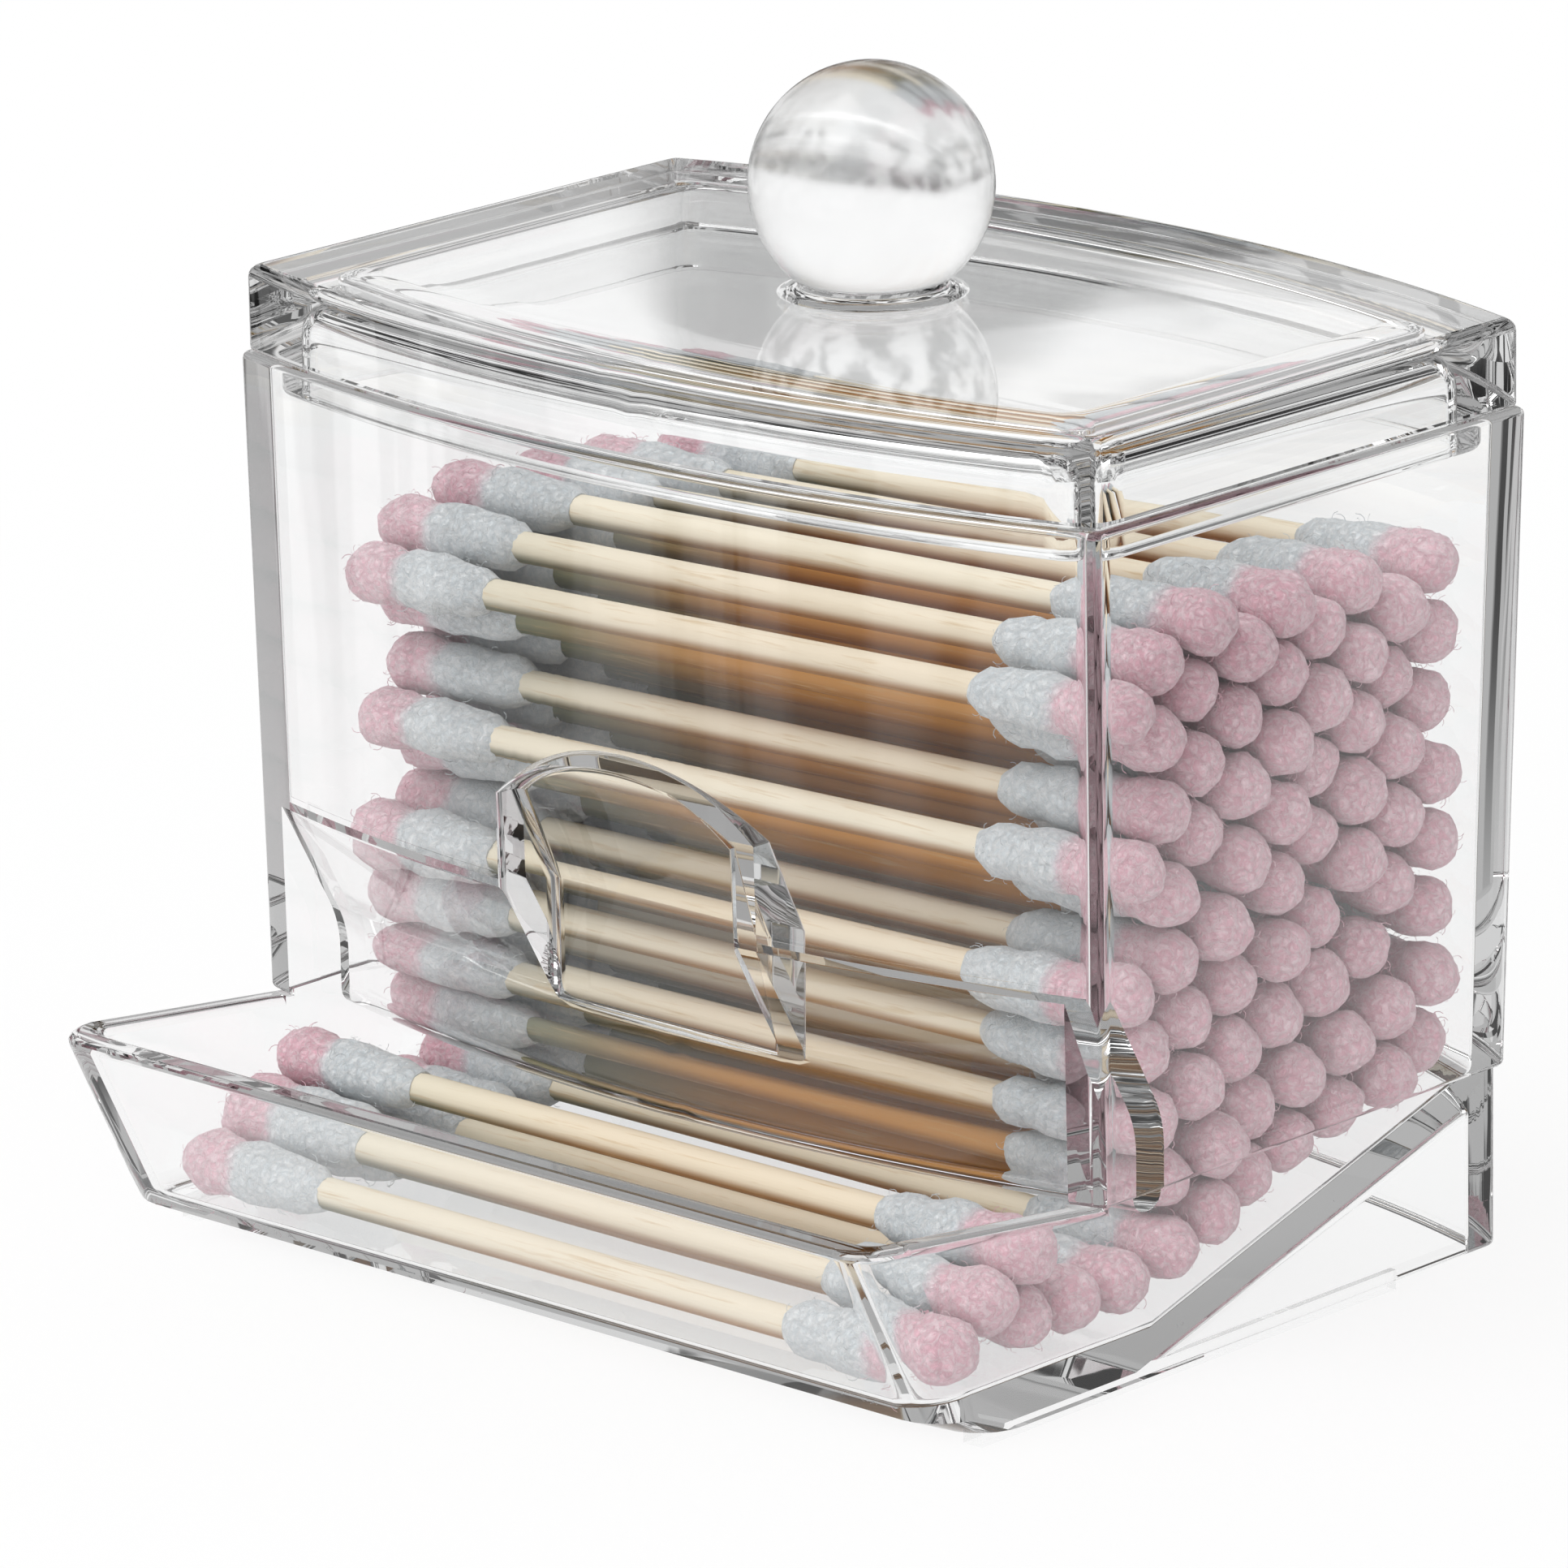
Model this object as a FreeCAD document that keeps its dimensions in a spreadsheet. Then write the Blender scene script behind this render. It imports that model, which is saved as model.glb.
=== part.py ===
"""Swab dispenser box: bowed clear body with a front tray, lift-off lid with a ball knob, and its swabs."""
import FreeCAD as App, Part
import math
import os
import re
import Sketcher

doc = App.newDocument("SwabDispenser")
sheet = doc.addObject("Spreadsheet::Sheet", "Sizes")

# Millimetres and degrees. Y runs from the front of the box to the back, measured here from the middle of
# its straight sides; heights are measured from the surface that it stands on.
SIZES = {
    # the box above the tray
    "box_width": 88.0,
    "box_depth": 48.4,
    "front_bow": 6.4,
    "rear_bow": 7.6,
    "wall": 3.0,
    "body_height": 66.8,
    "side_draft": 0.5,
    "front_lean": 0.8,
    "rear_lean": 2.0,
    # the lower front, set back under the shoulder, down to the slot that the swabs roll out of
    "shoulder_height": 31.0,
    "skirt_height": 20.4,
    "slot_height": 13.5,
    "skirt_setback": 6.0,
    # the arched finger recess in the front
    "recess_width": 23.6,
    "recess_spring": 38.5,
    "recess_crown": 42.6,
    "recess_knee": 30.7,
    "recess_slope": 65.0,
    # the base and the sloping floor
    "base_step": 0.6,
    "foot_height": 1.1,
    "foot_inset": 1.2,
    "foot_width": 1.8,
    "foot_rear": 11.5,
    "floor_height": 4.2,
    "ramp_start": 16.5,
    "ramp_slope": 16.4,
    "ramp_slab": 2.5,
    # the tray
    "tray_rim_height": 15.5,
    "lip_height": 17.8,
    "lip_reach": 48.5,
    "lip_land": 4.5,
    "panel_foot_height": 5.4,
    "panel_foot_reach": 42.3,
    "band_height": 3.0,
    "band_reach": 41.0,
    "sole_reach": 36.5,
    "tray_wall": 3.0,
    "tray_corner": 4.0,
    # the lid and its knob
    "lid_inset": 0.5,
    "lid_height": 6.9,
    "lid_edge": 1.0,
    "lid_plate": 2.5,
    "plug_drop": 3.0,
    "plug_clearance": 0.3,
    "plug_wall": 2.4,
    "plug_corner": 2.5,
    "cavity_fillet": 2.8,
    "pad_radius": 7.5,
    "pad_height": 1.2,
    "ball_radius": 9.4,
    "ball_seat_radius": 6.2,
    # one swab
    "swab_length": 78.5,
    "stick_radius": 1.25,
    "stick_recess": 3.0,
    "stick_fit": 0.05,
    "head_length": 15.0,
    "head_radius": 2.5,
    "head_barrel": 4.0,
    "head_neck_radius": 1.65,
    # how the swabs lie
    "swab_gap": 0.06,
    "swab_slack": 0.1,
    "settling_slant": 0.15,
    "swab_scatter": 0.9,
    "swab_end_gap": 0.3,
    "pile_tilt": 0.045,
    "pile_height": 57.6,
    "spill_height": 15.0,
    "spill_slope": 14.0,
}

for row, (alias, value) in enumerate(SIZES.items(), start=1):
    sheet.set(f"A{row}", alias)
    sheet.set(f"B{row}", str(value))
    sheet.setAlias(f"B{row}", alias)
doc.recompute()

ALIAS = re.compile(r"\b(" + "|".join(SIZES) + r")\b")


def size(text):
    """Turn a plain formula of size names into an expression on the sheet."""
    return ALIAS.sub(r"Sizes.\1", text)


def value(text):
    """The number that a formula of size names has now."""
    return float(sheet.evalExpression(size(text)))


def bind(thing, path, text):
    thing.setExpression(path, size(text))


# Formulas that several pieces share.
FRONT_RADIUS = "((box_width / 2)^2 + front_bow^2) / (2 * front_bow)"
REAR_RADIUS = "((box_width / 2)^2 + rear_bow^2) / (2 * rear_bow)"
FRONT_CENTRE = f"({FRONT_RADIUS} - box_depth / 2 - front_bow)"
REAR_CENTRE = f"(box_depth / 2 + rear_bow - {REAR_RADIUS})"
INNER_HALF = "(box_width / 2 - wall)"
LOW_INNER_HALF = "(box_width / 2 - side_draft - wall)"
BASE_HALF = "(box_width / 2 - side_draft - base_step)"
SHOULDER_LEAN = "(front_lean * (body_height - shoulder_height) / (body_height - tray_rim_height))"
SKIRT_FACE = f"(box_depth / 2 + front_bow - {SHOULDER_LEAN} - skirt_setback)"
PANEL_SLOPE = "((lip_reach - panel_foot_reach) / (lip_height - panel_foot_height))"
LID_TOP = "(body_height + lid_height)"
KNOB_SEAT = f"({LID_TOP} + pad_height)"
BALL_CENTRE = f"({KNOB_SEAT} + sqrt(ball_radius^2 - ball_seat_radius^2))"
LAYER_PITCH = "((2 * head_radius + swab_gap) * sqrt(3) / 2)"
# The frame's origin is under the middle of the whole object, from the tray's lip to the bowed back.
Y_SHIFT = "(lip_reach - box_depth / 2 - rear_bow) / 2"


def ramp(y):
    """Formula for the height of the sloping floor at y."""
    return f"(floor_height + ({y} + ramp_start) * tan(ramp_slope))"


# ---- sketches ---------------------------------------------------------------------------------------

def level_sketch(name, height):
    """An empty sketch that lies level at a height."""
    sketch = doc.addObject("Sketcher::SketchObject", name)
    bind(sketch, "Placement.Base.z", height)
    return sketch


def side_sketch(name):
    """An empty sketch seen from the side: its first axis is Y and its second is Z."""
    sketch = doc.addObject("Sketcher::SketchObject", name)
    sketch.Placement = App.Placement(App.Vector(), App.Rotation(App.Vector(1, 1, 1), 120))
    return sketch


def pin(sketch, kind, geometry, point, text):
    """Hold one point of a sketch at a distance from the origin, along X or Y."""
    index = sketch.addConstraint(Sketcher.Constraint(kind, -1, 1, geometry, point, value(text)))
    bind(sketch, f"Constraints[{index}]", text)


def polygon(sketch, corners):
    """A closed outline of straight lines through corners given as pairs of formulas."""
    points = [App.Vector(value(x), value(y), 0) for x, y in corners]
    count = len(points)
    for i in range(count):
        sketch.addGeometry(Part.LineSegment(points[i], points[(i + 1) % count]))
    for i in range(count):
        sketch.addConstraint(Sketcher.Constraint("Coincident", i, 2, (i + 1) % count, 1))
        pin(sketch, "DistanceX", i, 1, corners[i][0])
        pin(sketch, "DistanceY", i, 1, corners[i][1])
    return sketch


def bow(sketch, half, centre, radius, side):
    """An arc centred on the Y axis that spans both halves; side is -1 at the front and 1 at the back."""
    reach, middle, size_now = value(half), value(centre), value(radius)
    drop = math.sqrt(size_now ** 2 - reach ** 2)
    ends = [App.Vector(-side * x * reach, middle + side * drop, 0) for x in (-1, 1)]
    crown = App.Vector(0, middle + side * size_now, 0)
    index = sketch.addGeometry(Part.Arc(ends[0], crown, ends[1]))
    sketch.addConstraint(Sketcher.Constraint("PointOnObject", index, 3, -2))
    pin(sketch, "DistanceY", index, 3, centre)
    radius_index = sketch.addConstraint(Sketcher.Constraint("Radius", index, size_now))
    bind(sketch, f"Constraints[{radius_index}]", radius)
    return index


def point_of(sketch, geometry, low_x):
    """Which end of an arc or line (1 or 2) has the lower, or the higher, X."""
    first, second = sketch.getPoint(geometry, 1), sketch.getPoint(geometry, 2)
    return 1 if (first.x < second.x) == low_x else 2


def bowed_outline(name, height, half, front, rear):
    """A plan outline with straight sides. front and rear are (centre, radius) of an arc, or one formula."""
    sketch = level_sketch(name, height)
    ends = []
    for end, side in ((front, -1), (rear, 1)):
        if isinstance(end, tuple):
            ends.append(bow(sketch, half, end[0], end[1], side))
        else:
            y = value(end)
            line = Part.LineSegment(App.Vector(-value(half), y, 0), App.Vector(value(half), y, 0))
            ends.append(sketch.addGeometry(line))
            sketch.addConstraint(Sketcher.Constraint("Horizontal", ends[-1]))
            pin(sketch, "DistanceY", ends[-1], 1, end)
    for low_x, sign in ((True, "-"), (False, "")):
        points = [point_of(sketch, geometry, low_x) for geometry in ends]
        corners = [sketch.getPoint(geometry, point) for geometry, point in zip(ends, points)]
        edge = sketch.addGeometry(Part.LineSegment(corners[0], corners[1]))
        for point, geometry, corner in zip((1, 2), ends, points):
            sketch.addConstraint(Sketcher.Constraint("Coincident", edge, point, geometry, corner))
        sketch.addConstraint(Sketcher.Constraint("Vertical", edge))
        pin(sketch, "DistanceX", edge, 1, f"{sign}1 * {half}")
    return sketch


def rounded_front(name, height, half, reach, rear, corner):
    """A plan outline with a straight front whose two corners are rounded. reach is how far the front is
    from the middle and corner is the radius; the outline ends square at rear."""
    sketch = level_sketch(name, height)
    x, front, back, r = value(half), -value(reach), value(rear), value(corner)
    corner_points = [(-x, back), (-x, front + r), (-x + r, front), (x - r, front), (x, front + r), (x, back)]
    points = [App.Vector(px, py, 0) for px, py in corner_points]
    diagonal = r * math.sqrt(0.5)
    middles = [App.Vector(side * (x - r + diagonal), front + r - diagonal, 0) for side in (-1, 1)]
    sketch.addGeometry(Part.LineSegment(points[0], points[1]))
    sketch.addGeometry(Part.Arc(points[1], middles[0], points[2]))
    sketch.addGeometry(Part.LineSegment(points[2], points[3]))
    sketch.addGeometry(Part.Arc(points[3], middles[1], points[4]))
    sketch.addGeometry(Part.LineSegment(points[4], points[5]))
    sketch.addGeometry(Part.LineSegment(points[5], points[0]))
    for i in (5, 0, 4, 2):
        sketch.addConstraint(Sketcher.Constraint("Vertical" if i in (0, 4) else "Horizontal", i))
    for line, line_end, arc, left in ((0, 2, 1, True), (2, 1, 1, False), (2, 2, 3, True), (4, 1, 3, False)):
        near = sketch.getPoint(line, line_end)
        arc_end = 1 if sketch.getPoint(arc, 1).distanceToPoint(near) < r / 4 else 2
        sketch.addConstraint(Sketcher.Constraint("Tangent", line, line_end, arc, arc_end))
    sketch.addConstraint(Sketcher.Constraint("Coincident", 4, 2, 5, 1))
    sketch.addConstraint(Sketcher.Constraint("Coincident", 5, 2, 0, 1))
    pin(sketch, "DistanceX", 0, 1, f"-1 * {half}")
    pin(sketch, "DistanceX", 4, 2, half)
    pin(sketch, "DistanceY", 2, 1, f"-1 * ({reach})")
    pin(sketch, "DistanceY", 5, 1, rear)
    for arc in (1, 3):
        index = sketch.addConstraint(Sketcher.Constraint("Radius", arc, r))
        bind(sketch, f"Constraints[{index}]", corner)
    return sketch


def arch(name, half, bottom, spring, crown):
    """An upright outline facing the front, straight-sided, with a shallow arched top."""
    sketch = doc.addObject("Sketcher::SketchObject", name)
    sketch.Placement = App.Placement(App.Vector(), App.Rotation(App.Vector(1, 0, 0), 90))
    x, low, side_top, top = value(half), value(bottom), value(spring), value(crown)
    left, right = App.Vector(-x, side_top, 0), App.Vector(x, side_top, 0)
    low_left, low_right = App.Vector(-x, low, 0), App.Vector(x, low, 0)
    sketch.addGeometry(Part.LineSegment(low_left, low_right))
    sketch.addGeometry(Part.LineSegment(low_right, right))
    sketch.addGeometry(Part.Arc(right, App.Vector(0, top, 0), left))
    sketch.addGeometry(Part.LineSegment(left, low_left))
    right_end = 1 if sketch.getPoint(2, 1).x > 0 else 2
    for a, a_end, b, b_end in ((0, 2, 1, 1), (1, 2, 2, right_end), (3, 1, 2, 3 - right_end), (3, 2, 0, 1)):
        sketch.addConstraint(Sketcher.Constraint("Coincident", a, a_end, b, b_end))
    for geometry, point, x_text in ((0, 1, f"-1 * {half}"), (0, 2, half)):
        pin(sketch, "DistanceX", geometry, point, x_text)
        pin(sketch, "DistanceY", geometry, point, bottom)
    for geometry, point, x_text in ((1, 2, half), (3, 1, f"-1 * {half}")):
        pin(sketch, "DistanceX", geometry, point, x_text)
        pin(sketch, "DistanceY", geometry, point, spring)
    rise = f"({crown} - {spring})"
    radius = (x ** 2 + value(rise) ** 2) / (2 * value(rise))
    index = sketch.addConstraint(Sketcher.Constraint("Radius", 2, radius))
    bind(sketch, f"Constraints[{index}]", f"({half}^2 + {rise}^2) / (2 * {rise})")
    return sketch


# ---- solids -----------------------------------------------------------------------------------------

def loft(name, sketches):
    made = doc.addObject("Part::Loft", name)
    made.Sections = sketches
    made.Solid = True
    made.Ruled = True
    return made


def block(name, length, width, height, corner):
    """A box whose sizes and lowest corner are given as formulas."""
    made = doc.addObject("Part::Box", name)
    bind(made, "Length", length)
    bind(made, "Width", width)
    bind(made, "Height", height)
    for axis, text in zip("xyz", corner):
        bind(made, f"Placement.Base.{axis}", text)
    return made


def extrude(name, sketch, length, both_ways=False):
    made = doc.addObject("Part::Extrusion", name)
    made.Base = sketch
    made.DirMode = "Normal"
    made.Solid = True
    made.Symmetric = both_ways
    bind(made, "LengthFwd", length)
    return made


def fuse(name, shapes):
    made = doc.addObject("Part::MultiFuse", name)
    made.Shapes = shapes
    return made


def common(name, shapes):
    made = doc.addObject("Part::MultiCommon", name)
    made.Shapes = shapes
    return made


def cut(name, base, tool):
    made = doc.addObject("Part::Cut", name)
    made.Base = base
    made.Tool = tool
    return made


def fillet(name, base, radius, wanted):
    """Round the edges of base for which wanted(edge) is true."""
    doc.recompute()
    made = doc.addObject("Part::Fillet", name)
    made.Base = base
    r = value(radius)
    made.Edges = [(i, r, r) for i, edge in enumerate(base.Shape.Edges, start=1) if wanted(edge)]
    return made


def at_height(height):
    """Picks the edges that lie level at a height."""
    z = value(height)
    return lambda edge: abs(edge.BoundBox.ZMin - z) < 1e-4 and abs(edge.BoundBox.ZMax - z) < 1e-4


def rising(edge):
    """Picks the edges that climb from the bottom of a block to its top."""
    return edge.BoundBox.ZLength > 1


def finish(made, label):
    """Name a sub-part and set it in the object's own frame."""
    made.Label = label
    bind(made, "Placement.Base.y", Y_SHIFT)
    return made


# ---- the body: one moulding -------------------------------------------------------------------------

def shifted(centre, lean):
    return f"({centre} + {lean})"


def box_outline(name, height, inset, front_shift, rear_shift, half):
    """The bowed outline of the box, drawn in by inset and shifted by the lean of its front and back."""
    front = (shifted(FRONT_CENTRE, front_shift), f"({FRONT_RADIUS} - {inset})")
    rear = (f"({REAR_CENTRE} - {rear_shift})", f"({REAR_RADIUS} - {inset})")
    return bowed_outline(name, height, half, front, rear)


def skirt_block(name, inset, half):
    """The space behind the lower front: it slopes in under the shoulder and then drops to the slot."""
    sections = []
    for level, height, back in (("A", "shoulder_height", "0"), ("B", "skirt_height", "skirt_setback"),
                                ("C", "slot_height", "skirt_setback")):
        front = (f"({FRONT_CENTRE} + {SHOULDER_LEAN} + {back})", f"({FRONT_RADIUS} - {inset})")
        sections.append(bowed_outline(f"{name}{level}", height, half, front, "-1 * ramp_start / 2"))
    return loft(name, sections)


def recess_block(name, grow, bottom):
    """The finger recess, or with grow the wall behind it: an arch in the front with a sloping back."""
    outline = arch(f"{name}Arch", f"(recess_width / 2 + {grow})", bottom, "recess_spring",
                   f"(recess_crown + {grow})")
    bar = extrude(f"{name}Bar", outline, "box_depth")
    back = f"({grow} - {SKIRT_FACE})"
    slope_run = "(2 * front_bow)"
    section = polygon(side_sketch(f"{name}Side"), [
        ("-1 * box_depth", bottom),
        (back, bottom),
        (back, "recess_knee"),
        (f"({back} - {slope_run})", f"(recess_knee + {slope_run} * tan(recess_slope))"),
        ("-1 * box_depth", f"(recess_knee + {slope_run} * tan(recess_slope))"),
    ])
    prism = extrude(f"{name}Prism", section, "box_width", both_ways=True)
    return common(name, [bar, prism])


def tray_panel(height):
    """Formula for how far the outside of the leaning front panel is from the middle at a height."""
    return f"(panel_foot_reach + ({height} - panel_foot_height) * {PANEL_SLOPE})"


def make_body():
    behind = "(box_depth + rear_bow)"
    above = "(2 * body_height)"
    tray_rear = "-1 * box_depth / 4"

    upper = loft("UpperOutside", [
        box_outline("UpperTop", "body_height", "0", "0", "0", "(box_width / 2)"),
        box_outline("UpperLow", "tray_rim_height", "0", "front_lean", "rear_lean",
                    "(box_width / 2 - side_draft)"),
    ])
    base = loft("BaseOutside", [
        box_outline("BaseTop", "tray_rim_height", "base_step", "front_lean", "rear_lean", BASE_HALF),
        box_outline("BaseLow", "foot_height", "base_step", "front_lean", "rear_lean", BASE_HALF),
    ])
    chamber_core = loft("ChamberCore", [
        box_outline("CoreTop", "body_height", "wall", "0", "0", INNER_HALF),
        box_outline("CoreRim", "tray_rim_height", "wall", "front_lean", "rear_lean", LOW_INNER_HALF),
        box_outline("CoreLow", "0", "wall", "front_lean", "rear_lean", LOW_INNER_HALF),
    ])

    tray_outside = loft("TrayOutside", [
        rounded_front("TraySole", "foot_height", BASE_HALF, "sole_reach", tray_rear, "tray_corner"),
        rounded_front("TrayBand", "band_height", BASE_HALF, "band_reach", tray_rear, "tray_corner"),
        rounded_front("TrayFoot", "panel_foot_height", BASE_HALF, "panel_foot_reach", tray_rear, "tray_corner"),
        rounded_front("TrayLip", "lip_height", BASE_HALF, "lip_reach", tray_rear, "tray_corner"),
    ])
    box_corner = "(-1 * box_depth / 2 + front_lean)"
    rim_trim = extrude("RimTrim", polygon(side_sketch("RimTrimSide"), [
        ("0", "tray_rim_height"),
        (box_corner, "tray_rim_height"),
        ("(lip_land - lip_reach)", "lip_height"),
        ("-2 * lip_reach", "lip_height"),
        ("-2 * lip_reach", "body_height"),
        ("0", "body_height"),
    ]), "2 * box_width", both_ways=True)
    tray = cut("Tray", tray_outside, rim_trim)
    inner_corner = "(tray_corner / 2)"
    tray_hollow = loft("TrayHollow", [
        rounded_front("HollowFloor", "floor_height", LOW_INNER_HALF, f"({tray_panel('floor_height')} - tray_wall)",
                      tray_rear, inner_corner),
        rounded_front("HollowTop", "skirt_height", LOW_INNER_HALF, f"({tray_panel('skirt_height')} - tray_wall)",
                      tray_rear, inner_corner),
    ])
    rail_edge = f"({BASE_HALF} - foot_inset)"
    rails = [block(f"FootRail{side}", "foot_width", "sole_reach + foot_rear", "foot_height",
                   (x, "-1 * sole_reach", "0"))
             for side, x in (("Left", f"-1 * {rail_edge}"), ("Right", f"{rail_edge} - foot_width"))]

    above_floor = extrude("AboveFloor", polygon(side_sketch("AboveFloorSide"), [
        ("-1 * ramp_start", "floor_height"),
        (behind, ramp(behind)),
        (behind, above),
        ("-2 * lip_reach", above),
        ("-2 * lip_reach", "floor_height"),
    ]), "2 * box_width", both_ways=True)
    under_start = "(-1 * ramp_start + (ramp_slab / cos(ramp_slope) - floor_height) / tan(ramp_slope))"
    below_slab = extrude("BelowSlab", polygon(side_sketch("BelowSlabSide"), [
        (under_start, "0"),
        (behind, "0"),
        (behind, f"({ramp(behind)} - ramp_slab / cos(ramp_slope))"),
    ]), "2 * box_width", both_ways=True)
    front_slot = block("FrontSlot", f"2 * {LOW_INNER_HALF}", "box_depth / 2", "shoulder_height - floor_height",
                       (f"-1 * {LOW_INNER_HALF}", "-1 * (box_depth / 2 + front_bow + wall)", "floor_height"))

    skirt_outside = skirt_block("SkirtOutside", "0", f"({LOW_INNER_HALF} + wall / 3)")
    skirt_inside = skirt_block("SkirtInside", "wall", LOW_INNER_HALF)
    skirt = cut("Skirt", skirt_outside, skirt_inside)
    in_front_of_skirt = cut("InFrontOfSkirt", front_slot, skirt_outside)
    recess_wall = cut("RecessWall", common("RecessWallInBox", [recess_block("RecessBacking", "wall",
                      "skirt_height"), upper]), in_front_of_skirt)
    recess = recess_block("Recess", "0", "(skirt_height + wall / 10)")

    inside = common("Inside", [fuse("InsideBlocks", [chamber_core, tray_hollow, front_slot]), above_floor])
    hollow_base = common("HollowBase", [chamber_core, below_slab])
    outside = fuse("Outside", [upper, base, tray])
    shell = cut("Shell", outside, fuse("Hollows", [inside, hollow_base]))
    with_front = fuse("WithFront", [shell, skirt, recess_wall] + rails)
    moulding = cut("Body", with_front, recess)
    moulding.Refine = False
    return finish(moulding, "dispenser_body")


# ---- the lid and the knob ---------------------------------------------------------------------------

def lid_outline(name, height, inset, half):
    return box_outline(name, height, inset, "0", "0", half)


def make_lid():
    slab_block = extrude("LidBlock", lid_outline("LidOutline", "body_height", "lid_inset",
                                                 "(box_width / 2 - lid_inset)"), "lid_height")
    plate = fillet("LidRounded", slab_block, "lid_edge", at_height(LID_TOP))
    plug_inset = "(wall + plug_clearance)"
    plug_low = "(body_height - plug_drop)"
    plug_block = extrude("PlugBlock", lid_outline("PlugOutline", plug_low, plug_inset,
                                                  f"(box_width / 2 - {plug_inset})"), "plug_drop + 1")
    plug = fillet("PlugRounded", plug_block, "plug_corner", rising)
    cavity_inset = f"({plug_inset} + plug_wall)"
    cavity_block = extrude("CavityBlock", lid_outline("CavityOutline", plug_low, cavity_inset,
                                                      f"(box_width / 2 - {cavity_inset})"),
                           "lid_height + plug_drop - lid_plate")
    cavity_corners = fillet("CavityCorners", cavity_block, "plug_corner", rising)
    cavity = fillet("CavityRounded", cavity_corners, "cavity_fillet", at_height(f"({LID_TOP} - lid_plate)"))
    pad = doc.addObject("Part::Cylinder", "KnobPad")
    bind(pad, "Radius", "pad_radius")
    bind(pad, "Height", "pad_height")
    bind(pad, "Placement.Base.z", LID_TOP)
    return finish(cut("Lid", fuse("LidSolid", [plate, plug, pad]), cavity), "dispenser_lid")


def make_knob():
    """A ball with a flat ground on it, turned about its own axis."""
    body = doc.addObject("PartDesign::Body", "Knob")
    sketch = body.newObject("Sketcher::SketchObject", "BallProfile")
    plane = next(f for f in body.Origin.OriginFeatures if f.Role == "XZ_Plane")
    sketch.AttachmentSupport = [(plane, "")]
    sketch.MapMode = "FlatFace"
    r, seat, centre, base = (value(text) for text in ("ball_radius", "ball_seat_radius", BALL_CENTRE, KNOB_SEAT))
    sketch.addGeometry(Part.LineSegment(App.Vector(0, base + r, 0), App.Vector(0, base, 0)))
    sketch.addGeometry(Part.LineSegment(App.Vector(0, base, 0), App.Vector(seat, base, 0)))
    foot, side, top = App.Vector(seat, base, 0), App.Vector(r, centre, 0), App.Vector(0, centre + r, 0)
    sketch.addGeometry(Part.Arc(foot, side, top))
    low_end = 1 if sketch.getPoint(2, 1).z < centre and sketch.getPoint(2, 1).y < centre else 2
    for a, a_end, b, b_end in ((0, 2, 1, 1), (1, 2, 2, low_end), (2, 3 - low_end, 0, 1)):
        sketch.addConstraint(Sketcher.Constraint("Coincident", a, a_end, b, b_end))
    sketch.addConstraint(Sketcher.Constraint("PointOnObject", 0, 1, -2))
    sketch.addConstraint(Sketcher.Constraint("PointOnObject", 2, 3, -2))
    pin(sketch, "DistanceX", 1, 2, "ball_seat_radius")
    pin(sketch, "DistanceY", 1, 2, KNOB_SEAT)
    pin(sketch, "DistanceX", 0, 2, "0")
    pin(sketch, "DistanceY", 0, 2, KNOB_SEAT)
    index = sketch.addConstraint(Sketcher.Constraint("Radius", 2, r))
    bind(sketch, f"Constraints[{index}]", "ball_radius")
    turned = body.newObject("PartDesign::Revolution", "Ball")
    turned.Profile = sketch
    turned.ReferenceAxis = (sketch, ["V_Axis"])
    turned.Angle = 360
    return finish(body, "lid_knob")


# ---- the swabs --------------------------------------------------------------------------------------

def make_stick():
    """One stick along X, its middle at the origin."""
    stick = doc.addObject("Part::Cylinder", "StickPattern")
    bind(stick, "Radius", "stick_radius")
    bind(stick, "Height", "swab_length - 2 * stick_recess")
    stick.Placement.Rotation = App.Rotation(App.Vector(0, 1, 0), 90)
    bind(stick, "Placement.Base.x", "stick_recess - swab_length / 2")
    return stick


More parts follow.
